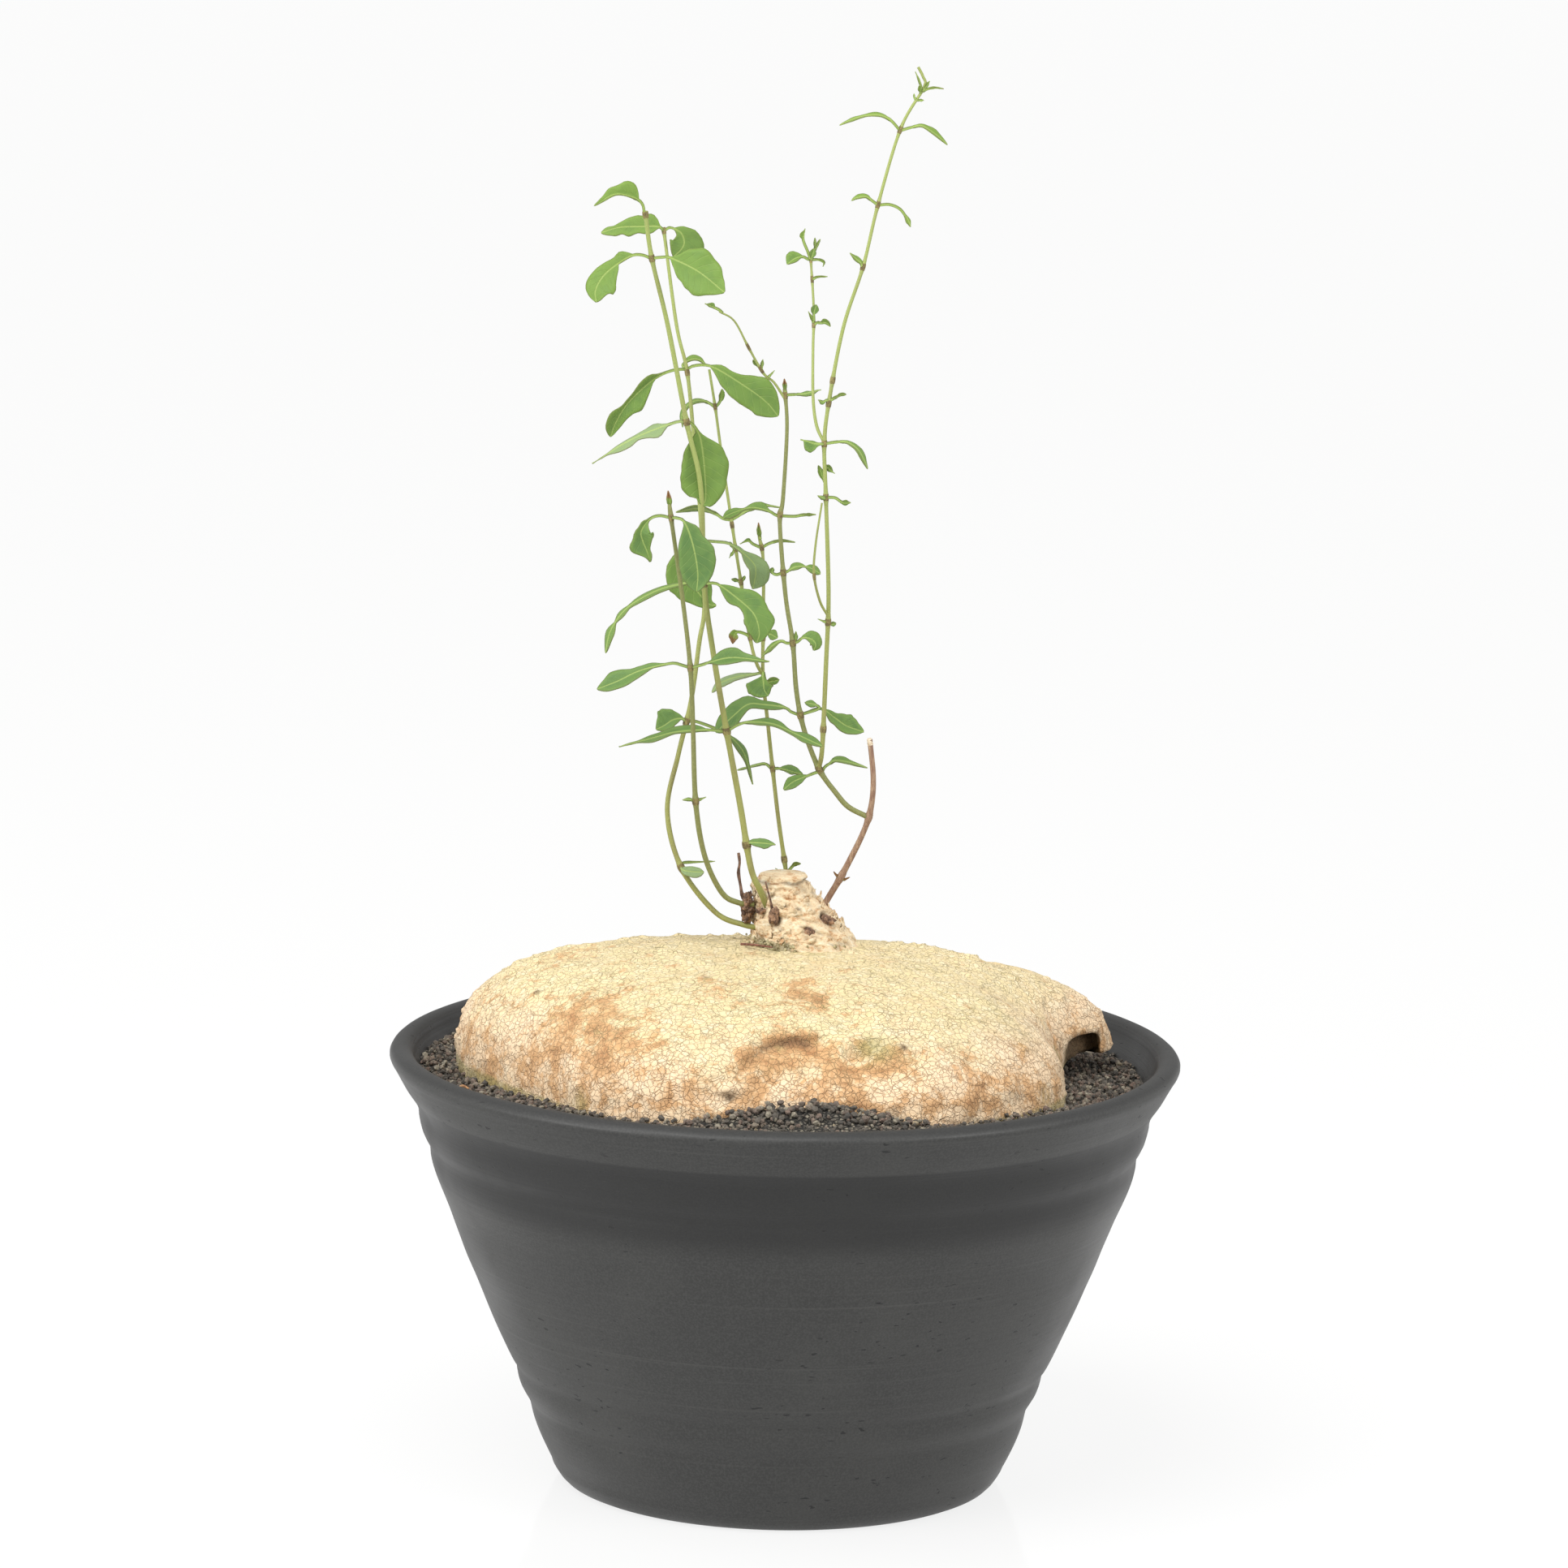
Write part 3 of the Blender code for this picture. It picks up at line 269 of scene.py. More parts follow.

# Leaves: stem, node height, midrib from that node to the tip, the share of it that is stalk, the half
# widths left and right of the midrib (seen from the front, looking along it), how far the left and
# right edges come forward, and the tone from young (0) to old (1). The right half is None where it is
# as wide as the left. Some rows end with how dry the tip is, or below 0 with how much paler underside
# colour and painted sheen the blade has.
LEAVES = {
    "leaf_front_1_right": ("stem_front", 198, [(1, -1, 0.8), (5.2, -1.5, 0.8), (8.7, -2, 0.5)], 0.08,
        [1, 1.3, 1.4, 1.3, 0.8], [0.8, 1.2, 1.5, 1.6, 0.6], (-0.5, 0.8), 1.0),
    "leaf_front_2_left": ("stem_front", 233, [(-5.5, -1, 0.3), (-15, -3, -0.2), (-22.5, -5, -2),
        (-32, -6, -4.4)], 0.18, [0.5, 0.5, 0.5, 1, 1.1, 0.4, 0.2], [1.8, 1.8, 1.6, 1.2, 1, 0.5, 0.3],
        (2.5, -2), 0.8),
    "leaf_front_2_right": ("stem_front", 233, [(3, -1, 1.9), (6, -1.5, 2.9), (13.5, -2.5, 2.8),
        (20, -3, 0.2), (28.7, -4, -3.5)], 0.22, [1, 1.6, 1.5, 0.7, 0.7, 1.6, 1.5],
        [0.8, 0.7, 0.6, 0.6, 0.8, 1.2, 0.9], (-2, 2), 0.85),
    "leaf_front_3_left": ("stem_front", 278, [(-4.7, -1, 0.2), (-13.8, -3, -2), (-22.5, -5, -7),
        (-27.2, -6, -13.5), (-28.8, -7, -20.4)], 0.12, [0.6, 0.8, 0.9, 1, 0.9, 0.5, 1, 0.3, 1.3, 0.9],
        None, (2.5, -2.5), 0.6),
    "leaf_front_3_right": ("stem_front", 278, [(1.8, -1, 0.3), (4.3, -2, 0.1), (10, -4, -3.6),
        (15, -6, -7.9), (16.7, -7.5, -13), (16, -8, -16.3)], 0.18, [1.9, 3.1, 4.6, 5.2, 4.5, 5.1, 2.7],
        [2, 2.8, 1.9, 2.5, 3.6, 3.6, 3.1], (-1, 2), 0.6),
    "leaf_front_4_left": ("stem_front", 327, [(-2, -0.5, 0.2), (-5.7, -1.5, -0.9), (-16.2, -4, -5.2),
        (-27.6, -6, -12.2)], 0.2, [2.7, 1.6, 1, 1.8, 1.6, 0.6, 0.2], [1.7, 1.2, 0.8, 0.7, 0.6, 0.3, 0.2],
        (2.5, -1.5), 0.75, -0.9),
    "leaf_front_4_right": ("stem_front", 327, [(2, 1, -1), (4, 2.5, -4.6), (5.3, 3, -12),
        (6.1, 2.5, -22.4), (5.2, 1.5, -25.2)], 0.17, [2.3, 5.8, 6.9, 7.2, 6.7, 5.8, 4.1],
        [3.2, 5.1, 6.4, 7.1, 7.3, 7.1, 5.7], (-1.5, 1), 0.35),
    "leaf_front_5_left": ("stem_front", 376, [(-2.5, -0.5, 0.9), (-5.6, -1, 0.9), (-9.8, -2, -1.5),
        (-14, -3.5, -5), (-16.3, -5, -9.2), (-16, -6, -12.6)], 0.24, [0.4, 0.3, 2.9, 4.7, 5.5, 5.3, 4],
        [2.8, 2.2, 2.5, 2.9, 3.3, 3.6, 2.1], (1.5, -1), 0.25),
    "leaf_front_5_right": ("stem_front", 376, [(3.4, -1, 0.5), (5.6, -1.5, 0.4), (13.7, -4, -3.1),
        (21.6, -7, -8.8)], 0.22, [2.4, 5.3, 6.4, 6.4, 5.8, 4.7, 2.8], [3, 5.2, 6, 6.7, 6.4, 5.4, 3.1],
        (-1, 1.5), 0.3),
    "leaf_front_6_left": ("stem_front", 389, [(-1, -0.5, 3.2), (-3.5, -1.5, 5), (-9, -3, 6),
        (-15, -4, 2.7)], 0.28, [0.3, 0.3, 0.4, 0.6, 0.7, 0.5], [3.9, 4.6, 3.1, 2.3, 1.3, 0.7], (3.5, -1),
        0.15),
    "leaf_tall_left_1_right": ("stem_left_tall", 189, [(0.5, -2, -0.4), (3.5, -3, -0.7), (6.9, -4, -0.5)],
        0.1, [1.2, 1.6, 1.6, 1.3], [1.2, 1.6, 1.8, 1.5], (-0.5, 0.8), 1.0, -0.8),
    "leaf_tall_left_2_left": ("stem_left_tall", 233, [(-1.4, -1, 1.1), (-4, -2, 0.8), (-6.6, -3, -0.8),
        (-9, -4, -1.9)], 0.15, [1.2, 1.8, 2.2, 1.8, 1.2], [2, 3.4, 4.6, 4.4, 2.8], (1.5, -1), 0.85),
    "leaf_tall_left_2_right": ("stem_left_tall", 233, [(2.5, 0.5, 0.1), (9.7, 1, -2.5), (13.5, 1.5, -5),
        (17.5, 2, -10), (20.3, 3, -19.4)], 0.45, [0.9, 1.2, 1, 0.6, 0.5, 0.3], None, (-2, 2), 0.9),
    "leaf_tall_left_3_left": ("stem_left_tall", 287, [(-3, -1, -3.8), (-4.6, -2, -8.7), (-3, -2, -12.3),
        (-0.6, -2, -15.9), (2.3, -2, -18.8), (4.5, -2, -19.2)], 0.15, [3, 5, 5.5, 5, 4.4, 2.2],
        [4.5, 6.1, 6.8, 6.2, 4.2, 2.2], (-1, 1.5), 0.45),
    "leaf_tall_left_3_right": ("stem_left_tall", 287, [(4, 1, -0.3), (8.1, 1, -0.8), (12, 0, -3.3),
        (15.4, -1, -6.3), (16.2, -2, -9), (15.4, -2, -14)], 0.35, [0.9, 1, 1.8, 2.9, 4.3, 4.2, 3.1],
        [0.4, 0.5, 1.7, 2.2, 1.8, 1.6, 1.2], (-1.5, 2), 0.75, -0.7),
    "leaf_tall_left_4_left": ("stem_left_tall", 338, [(-3.7, -1, -0.2), (-8, -2, -1.8), (-13, -3, -5.6),
        (-18, -4, -10.8), (-21.2, -4.5, -16.5), (-22.5, -5, -20.3)], 0.25,
        [0.8, 2.5, 4.1, 4.4, 3.1, 2.4, 1.7], [1.8, 1.6, 1, 0.8, 1.1, 2.5, 2.5], (0.5, 1.5), 0.4),
    "leaf_tall_left_4_right": ("stem_left_tall", 338, [(2.5, -0.5, 1.2), (7.6, -1.5, 1.1), (16, -3, -3.4),
        (23.8, -4, -8.7), (27.7, -5, -13)], 0.23, [1.8, 1.8, 2.5, 4.4, 5.7, 5.1, 2.9],
        [2.3, 4.1, 5.1, 5.4, 5.1, 5.1, 4], (-1, 1.5), 0.4),
    "leaf_tall_left_5_left": ("stem_left_tall", 379, [(-1.6, -1, 1.3), (-7, -2, 1.3), (-13.5, -3, 1),
        (-18.7, -4, -0.6)], 0.1, [2.1, 2.4, 2.1, 3.1, 2.3, 2.4, 1.7], [3.8, 3.4, 3.3, 2.8, 1.8, 0.9, 1.1],
        (1.5, -1), 0.3),
    "leaf_tall_left_5_right": ("stem_left_tall", 379, [(1.9, 0.5, 0.9), (5, 1, -0.6), (6.1, 1, -3.4),
        (5.2, 0, -5.6), (3, -1, -7.6)], 0.15, [1, 2.8, 5, 6.1, 5.6, 4.5], [0.6, 1.8, 3.4, 3.8, 4.3, 3.4],
        (-2, 1.5), 0.4),
    "leaf_short_left_2_left": ("stem_left_short", 254, [(-3, -1, 0.9), (-6, -1.5, 1.3), (-15, -3, -0.9),
        (-21.5, -4, -4), (-27.5, -5, -6.3)], 0.22, [0.4, 0.5, 1.5, 2.1, 2.3, 2.2, 1.7],
        [0.7, 1.5, 1.4, 1.6, 2.9, 3.3, 1.9], (2, -1.5), 0.95),
    "leaf_short_left_2_right": ("stem_left_short", 254, [(3.5, -1, 1), (6, -2, 2), (12.5, -4, 3.8),
        (23.5, -6, 3.2)], 0.25, [1.7, 2.9, 3, 1.9, 1.3, 0.6], [1.6, 2, 1.6, 0.9, 0.7, 0.5], (-1, 2.5),
        0.95),
    "leaf_short_left_3_left": ("stem_left_short", 300, [(-3.4, -1, 0.6), (-6.2, -2, -0.3),
        (-8.7, -3, -3.8), (-8.3, -3, -6.4), (-6.8, -3, -10), (-5.8, -3, -13)], 0.33,
        [1.4, 3.4, 3.9, 2.7, 1.3, 1], [1.3, 1.3, 2.7, 4.5, 3.6, 1.5], (1.5, 2), 0.65),
    "leaf_short_left_3_right": ("stem_left_short", 300, [(2.2, -1.5, 0), (4.2, -3, -1.1), (6.7, -4, -7.6),
        (8.2, -4.5, -15.5), (8, -5, -21.3)], 0.2, [3.1, 3.7, 5.4, 6, 5.5, 4.4, 2.7],
        [2.2, 3.8, 4.7, 5.1, 5.3, 5, 3.7], (1, 1), 1.0),
    "leaf_centre_1_right": ("stem_centre", 217.5, [(2, -0.5, 0.2), (5.8, -1.5, -0.5), (9.3, -2, -1.3)],
        0.2, [1.2, 1.8, 1.9, 1.6, 0.9], [0.3, 0.6, 0.8, 0.5, 0.2], (-1, 1.5), 0.85),
    "leaf_centre_2_front": ("stem_centre", 246.5, [(0, -2, -1), (0.2, -4, -2), (0.5, -7, -4),
        (1.7, -9, -5.6)], 0.2, [1, 1.8, 3, 2.2], [4.4, 5.2, 4.8, 2.8], (1, 1), 0.6),
    "leaf_centre_2_left": ("stem_centre", 246.5, [(-3, 1, -0.9), (-8, 2, -2), (-12.8, 2, -4),
        (-15.3, 2, -6.8)], 0.1, [0.5, 0.8, 1, 1.3, 1], [0.7, 1, 1.2, 1.2, 0.9], (2, -2), 0.9, -0.9),
    "leaf_twig_4_left": ("twig_centre", 292.5, [(-2.5, 1, 0.2), (-5.4, 2, 1.8), (-10.5, 3, 2.9),
        (-16.8, 4, 1.4)], 0.3, [0.5, 0.7, 0.8, 0.7, 0.4], None, (-2, 2), 0.5),
    "leaf_twig_5_left": ("twig_centre", 326, [(-1.9, 1, 1), (-4.5, 2, 1.5), (-7, 2, 0.9), (-9.3, 2, -1.3),
        (-10, 2, -3.8), (-9.7, 2, -6.7)], 0.17, [0.6, 0.8, 0.7, 0.8, 0.7, 0.3], None, (1.5, -1.5), 0.45),
    "leaf_right_1_left": ("stem_right", 219.5, [(-1.8, -0.5, -0.6), (-3.4, -1, -1.2), (-8, -2, -3.1),
        (-10.9, -3, -5.4)], 0.27, [0.6, 1.4, 1.7, 1.8, 1.2], [0.8, 1.4, 1.7, 1.8, 1.2], (1, -0.5), 0.75),
    "leaf_right_1_right": ("stem_right", 219, [(1, 0.5, 1.6), (2.6, 1, 2.7), (4.5, 1.5, 3.5),
        (8.7, 2, 2.8), (13.9, 3, 1.2)], 0.25, [1.3, 1.4, 0.8, 0.5, 0.3], [0.4, 0.5, 0.5, 0.5, 0.3],
        (-1.5, 1.5), 0.7),
    "leaf_right_2_left": ("stem_right", 236.5, [(-3, 0, 0.9), (-4.8, -0.5, 2.2), (-11.4, -1, 3),
        (-15.8, -1.5, 3), (-20.3, -2, -0.7), (-25.2, -2, -5.6)], 0.16, [1.2, 1.4, 1.4, 1.5, 2, 2.6, 2.5],
        [1, 1.2, 1.7, 2.9, 3.2, 3.2, 2.5], (2, -2), 0.95),
    "leaf_right_2_right": ("stem_right", 236.5, [(2, 1, 0.5), (6.2, 2, 1.6), (10.7, 3, -1.5),
        (14, 3, -3.7), (19.2, 3, -5.4)], 0.33, [1, 1.5, 2.8, 3.6, 3.2, 1.9], [1, 1.8, 1.9, 2.2, 2.1, 1.4],
        (-1, 1.5), 0.75),
    "leaf_right_3_left": ("stem_right", 258, [(-2, 0, 0), (-3.5, -0.5, 0.6), (-6, -1, -0.8),
        (-9.4, -2, -4.2)], 0.2, [0.3, 0.7, 0.8, 0.3], [0.5, 0.8, 0.7, 0.3], (1.5, -1), 0.4, 0.6),
    "leaf_right_3_right": ("stem_right", 258, [(1.5, 0, 0.5), (3.1, -0.5, 1.8), (5.6, -1, 1.4),
        (6.8, -1.5, 0), (6.2, -2, -1.7)], 0.3, [1.4, 2.5, 2.7, 2.2, 1.4], [0.4, 0.9, 1.3, 1.6, 1],
        (-1, 1), 0.6, 0.45),
    "leaf_right_4_right": ("stem_right", 279, [(1.5, 0, 0.6), (3.6, 0.5, 1.7), (6.4, 1, 1.8),
        (8.8, 1.5, 1), (11.1, 2, -0.5)], 0.15, [1.2, 1.3, 0.9, 0.2, 1.1, 1.4, 1],
        [0.8, 0.9, 0.4, 0.2, 1, 1.3, 1.1], (-1, 1.5), 0.6),
    "leaf_right_5_left": ("stem_right", 296, [(-1.5, 0, 0.3), (-3.3, -0.5, 1.4), (-8.7, -1, 2.4),
        (-14.2, -2, 0.8), (-17, -3, -0.6)], 0.2, [0.4, 0.5, 0.5, 0.6, 1.3, 1.3],
        [2, 1.8, 0.7, 0.5, 1.3, 1.4], (2, -1), 0.6),
    "leaf_tall_3_right": ("stem_tall", 320, [(2.5, -0.5, 0.5), (4.8, -1, 0.8), (7.2, -1.5, 0.5),
        (10.3, -2, -1.8), (13, -3, -6.9)], 0.28, [0.6, 0.8, 1, 1.1, 0.9, 0.5],
        [0.3, 0.5, 0.6, 0.7, 0.7, 0.4], (-1.5, 1.5), 0.5),
    "leaf_tall_6_left": ("stem_tall", 391, [(-2.3, -0.5, 1.6), (-4, -1, 2.4), (-6.5, -1.5, 2),
        (-7.9, -2, 1.3)], 0.3, [0.3, 0.4, 0.4, 0.3], [0.8, 1, 1, 0.6], (1, -1), 0.1),
    "leaf_tall_6_right": ("stem_tall", 391, [(3.4, 0.5, 0.1), (6.5, 1, -1.2), (8.6, 1, -3.9),
        (9.8, 0, -6.4)], 0.7, [0.5, 0.7, 0.4], None, (-0.5, 0.5), 0.1),
    "leaf_tall_7_left": ("stem_tall", 413, [(-3.1, -1, 3.1), (-7, -1.5, 4.4), (-12.5, -2.5, 3.7),
        (-18, -3, 1.4)], 0.22, [0.3, 0.4, 0.2, 0.4, 0.6, 0.3], [0.8, 1.1, 0.7, 0.5, 0.6, 0.4],
        (1.5, -1.5), 0.0),
    "leaf_tall_7_right": ("stem_tall", 413, [(3.6, 0.5, 0.9), (6.5, 0.5, 1.2), (10.2, 1, -1),
        (14.1, 1, -4.2)], 0.25, [0.7, 1, 1.3, 1, 0.6], [0.2, 0.4, 0.5, 0.5, 0.3], (-1.5, 1.5), 0.0),
    "leaf_fork_2_left": ("twig_fork", 372.7, [(-1, 0, 0.2), (-2.5, -0.5, 0.9), (-4.8, -1, 0.3),
        (-7, -2, -1.3)], 0.32, [0.6, 1, 1, 0.6], [1.4, 2.3, 2.6, 2], (1, -0.5), 0.35),
}
# Small leaves and buds that the frame leaves out, in the same order of values
SMALL_LEAVES = {
    "bud_foot_left": ("stem_left_tall", 189.5, [(1, 1, 0.8), (5.5, 2, 0.9), (10.4, 3, 1)], 0.3,
        [0.3, 0.2, 0.3], None, (0, 0), 0.7),
    "bud_short_1_left": ("stem_left_short", 211.8, [(-1.9, -1, 0.6), (-3.9, -1.5, 0.5)], 0.1,
        [0.4, 0.5, 0.3], None, (0.5, -0.5), 0.8),
    "bud_short_1_right": ("stem_left_short", 211.8, [(1.5, 1, 0.4), (3.1, 2, 0.9)], 0.4, [0.2, 0.2], None,
        (0, 0), 0.6),
    "stub_thorn_left": ("stub_right", 186, [(-1.2, -0.6, 0.6), (-2.2, -0.8, 1.8)], 0.1, [0.4, 0.3, 0.2],
        None, (0.2, 0), 0.5, 2),
    "stub_thorn_right": ("stub_right", 185.5, [(1.3, -0.6, -0.2), (3, -0.8, 0.6)], 0.1, [0.4, 0.3, 0.2],
        None, (0.2, 0), 0.5, 2),
    "bud_short_top": ("stem_left_short", 303, [(-0.2, 0, 2), (-0.6, 0, 5)], 0.05, [0.7, 0.7, 0.4], None,
        (0.4, 0.4), 0.2, 1.1),
    "bud_base_left": ("stem_centre", 186, [(-2, 0, 0.5), (-3.3, 0, 1.2)], 0.3, [0.2, 0.2], None, (0, 0),
        0.3),
    "bud_base_right": ("stem_centre", 186, [(1.2, -0.5, 1.2), (2.6, -1, 2.8), (4.4, -1, 3)], 0.4,
        [0.4, 0.6, 0.4], None, (0.5, -0.5), 0.5),
    "bud_centre_1_left": ("stem_centre", 217.5, [(-2.4, 1, 1.3), (-6, 2, 0.3), (-10.7, 2, -1)], 0.22,
        [0.4, 0.3, 0.2, 0.3], [0.3, 0.4, 0.2, 0.3], (0.8, -0.8), 0.85),
    "bud_centre_2_right": ("stem_centre", 246.5, [(1, -1, -2.5), (3, -1, -2.4), (5, -1, -2)], 0.4,
        [0.9, 1.2, 1], None, (0.4, 0), 0.6),
    "bud_centre_3_right": ("stem_centre", 258, [(1.2, 0, 0.2), (2.5, -0.5, 0), (4.3, -1, -0.9)], 0.2,
        [1.2, 1.8, 1.4], [1.2, 1.6, 1.2], (-0.5, 0.5), 0.6),
    "bud_centre_4_left": ("stem_centre", 284, [(-2.6, 0, 1), (-4, 0, 1.9), (-6.6, 0, 1)], 0.5,
        [0.3, 0.2, 0.1], [0.9, 0.5, 0.2], (0, 0), 0.8),
    "bud_centre_4_right": ("stem_centre", 284, [(2.4, 1, 1.2), (5.8, 2, 1.9), (10.1, 2, 1.5)], 0.35,
        [0.3, 0.4, 0.3, 0.2], None, (0.6, -0.6), 0.6),
    "bud_centre_top": ("stem_centre", 286.5, [(-0.2, 0, 1.8), (-0.5, 0, 5)], 0.1, [0.6, 0.6, 0.3],
        [0.6, 0.5, 0.3], (0.5, 0.5), 0.3, 0.9),
    "bud_twig_1_left": ("twig_centre", 257.4, [(-1, -0.5, 0.8), (-3.2, -1, 1.6), (-4.6, -1.5, 1.2),
        (-5.2, -2, -1.8)], 0.5, [1, 1.4, 0.8], [1.2, 1.5, 0.8], (0.5, 0.5), 0.0, 0.7),
    "bud_twig_2_left": ("twig_centre", 274, [(-1.2, 0, 0.4), (-2.9, 0, 0.7)], 0.2, [0.5, 0.6, 0.4], None,
        (0, 0.3), 0.8),
    "bud_twig_2_right": ("twig_centre", 274, [(0.7, 0, 0.8), (1.2, 0, 1.9)], 0.2, [0.5, 0.5], None,
        (0, 0), 0.8),
    "bud_twig_3_up": ("twig_centre", 284, [(-1, 0, 0.5), (-1.9, 0, 2)], 0.2, [0.5, 0.5], None, (0, 0),
        0.9),
    "bud_twig_3_down": ("twig_centre", 284, [(-0.8, -0.5, -1.2), (-1.9, -1, -2.8)], 0.2, [0.4, 0.5, 0.2],
        None, (0, 0), 0.4),
    "bud_twig_4_right": ("twig_centre", 292.5, [(1.8, 1, 0.9), (5.8, 2, 3.2), (8.5, 3, 4.2),
        (15.5, 4, 3.4)], 0.2, [0.4, 0.6, 0.8, 0.4, 0.2], [0.4, 0.9, 0.8, 0.3, 0.2], (-1.5, 1), 0.6),
    "bud_twig_5_right": ("twig_centre", 326, [(1, 1, 0.8), (1.8, 2, 2.3), (2, 2, 5.2)], 0.3,
        [0.6, 0.8, 0.5], [0.6, 0.9, 0.8], (0.5, 0), 0.4),
    "bud_left_4_back": ("stem_left_tall", 338, [(-1.2, 2, 1), (1, 3, 2.4), (3.5, 4, 2.4), (5.8, 4, 0.8)],
        0.2, [0.5, 1.2, 1.3, 1, 0.5], [0.3, 0.4, 0.4, 0.4, 0.3], (-1, 1), 0.3),
    "bud_right_2_ear": ("stem_right", 236.5, [(5.5, 1.5, 1.7), (4.5, 1.5, 2.8), (1.3, 1.5, 3.5)], 0.65,
        [0.9, 1.1, 0.8], [0.7, 1.1, 0.8], (0.5, -0.5), 0.8),
    "bud_right_3_up": ("stem_right", 258, [(0.8, 0, 1), (0.9, 0, 3.6)], 0.1, [0.5, 0.7, 0.4], None,
        (0.4, 0), 0.7),
    "bud_right_4_left": ("stem_right", 279, [(-2, 0, -0.6), (-3.4, 0.5, 0), (-3.1, 0.5, 1.4)], 0.6,
        [0.6, 0.7], None, (0.3, 0), 0.7),
    "bud_right_5_right": ("stem_right", 296, [(4.4, 1, -0.2), (7, 1.5, 0.2), (10.8, 2, 0.3)], 0.6,
        [0.2, 0.4, 0.2], None, (0.5, -0.5), 0.5),
    "bud_right_6_right": ("stem_right", 332, [(1, 0, 0.2), (3.4, 0.5, 0.3), (6, 1, 0.4), (10.7, 2, 1.6)],
        0.3, [0.5, 0.8, 0.4, 0.3], [0.5, 0.8, 0.9, 0.3], (-0.8, 0.8), 0.85),
    "bud_right_top": ("stem_right", 333, [(-0.1, 0, 1.8), (-0.3, 0, 4)], 0.1, [0.5, 0.6, 0.3], None,
        (0.5, 0.5), 0.4, 1.1),
    "bud_tall_1_left": ("stem_tall", 266, [(-1.2, -0.5, 0.2), (-3.1, -1, 1)], 0.3, [0.2, 0.2], None,
        (0, 0), 0.5),
    "bud_tall_1_right": ("stem_tall", 265.5, [(0.9, 0, -0.2), (2.4, 0.5, 0)], 0.2, [0.6, 0.7, 0.5],
        [0.6, 0.8, 0.6], (0.3, 0), 0.5),
    "bud_tall_2_left": ("stem_tall", 303.5, [(-0.6, -1.5, 0.4), (-2.5, -2, 1.2)], 0.1, [0.6, 0.7, 0.4],
        [0.5, 0.6, 0.3], (0.5, -0.3), 0.85),
    "bud_tall_2_right": ("stem_tall", 304, [(2.8, -1, 0), (4.9, -1.5, -1.2), (7.4, -2, -1.2)], 0.62,
        [0.6, 0.8, 0.4], None, (0.3, -0.3), 0.6),
    "bud_tall_2_up": ("stem_tall", 308.5, [(-0.9, 1, 1.5), (-2.2, 1.5, 4.8)], 0.1, [0.5, 0.8, 0.8, 0.5],
        None, (0.3, 0.5), 0.4),
    "bud_tall_2_down": ("stem_tall", 312, [(0.8, 1, 0.8), (3, 1, -1)], 0.1, [0.9, 0.7, 0.2],
        [0.9, 0.9, 0.4], (0.3, 0), 0.55),
    "bud_tall_3_left": ("stem_tall", 320, [(-1, -1, 0), (-3, -1.5, 0.1), (-5.2, -2, 0.8),
        (-7.1, -2, 1.4)], 0.15, [1.2, 2.8, 2.6, 0.8], [0.5, 0.8, 0.5, 0.2], (1.2, -1), 0.6),
    "bud_tall_4_left": ("stem_tall", 333, [(-1, -0.5, 0), (-2, -0.5, -0.4), (-3.3, -1, 0.2)], 0.2,
        [0.6, 0.9, 0.4], [0.3, 0.4, 0.3], (0.3, 0), 0.6),
    "bud_tall_4_right": ("stem_tall", 333, [(1.7, -0.5, 0.9), (3.6, -1, 1.9), (5, -1, 2)], 0.15,
        [0.4, 0.3, 0.5, 0.4], [0.4, 0.3, 0.3, 0.4], (0.4, -0.4), 0.5),
    "bud_tall_5_left": ("stem_tall", 372.7, [(-0.8, -0.5, 1.3), (-2.2, -0.5, 2.5), (-4, -1, 4.2)], 0.1,
        [0.5, 0.6, 0.3], [0.9, 0.9, 0.5], (0.5, -0.3), 0.4),
    "bud_top_spike": ("stem_tall", 424.5, [(-0.6, 0, 2.4), (-2.1, 0, 5.8)], 0.15, [0.4, 0.35, 0.15],
        [0.3, 0.3, 0.15], (0.3, 0), 0.35),
    "bud_top_upper": ("stem_tall", 424.5, [(1, 0, 1.2), (2.2, 0, 3)], 0.25, [0.4, 0.5, 0.3], None,
        (0.3, 0), 0.3),
    "bud_top_right": ("stem_tall", 424.5, [(1.4, 0, 0.6), (4, 0, 1), (6.4, 0, 0.8)], 0.15,
        [0.3, 0.4, 0.3, 0.2], [0.3, 0.3, 0.2, 0.2], (0.3, 0), 0.0, 0.5),
    "bud_top_left": ("stem_tall", 424, [(-0.3, -0.6, 0.8), (-0.4, -0.6, 2.4)], 0.05, [0.5, 0.6, 0.4],
        [0.5, 0.6, 0.3], (0.4, 0.4), 0.3),
    "bud_top_low_left": ("stem_tall", 422, [(-0.7, 0, 0.6), (-0.8, 0, 1.8)], 0.15, [0.3, 0.3], None,
        (0, 0), 0.4),
    "bud_top_low_right": ("stem_tall", 422, [(0.8, 0, -0.2), (2.2, 0, -0.2)], 0.15, [0.4, 0.5, 0.3],
        [0.3, 0.4, 0.2], (0, 0), 0.3),
    "bud_side_end": ("twig_top_left", 357.5, [(-1, 0, 1), (-2.6, 0, 1.7), (-5.3, -0.5, 2.9)], 0.45,
        [0.3, 0.4, 0.2], [1.2, 0.9, 0.3], (0.3, 0), 0.5),
    "bud_side_left": ("twig_top_left", 341, [(-0.8, 0, 0.6), (-1.8, 0, 1.9)], 0.1, [0.5, 0.6, 0.5], None,
        (0.3, 0), 0.6),
    "bud_side_up": ("twig_top_left", 340, [(0.3, 0, 1), (0.6, 0, 3)], 0.1, [0.4, 0.5, 0.3], None,
        (0.3, 0), 0.6),
    "bud_side_right": ("twig_top_left", 337.5, [(0.8, 0, 0.8), (2, 0, 2.2)], 0.2, [0.3, 0.2], None,
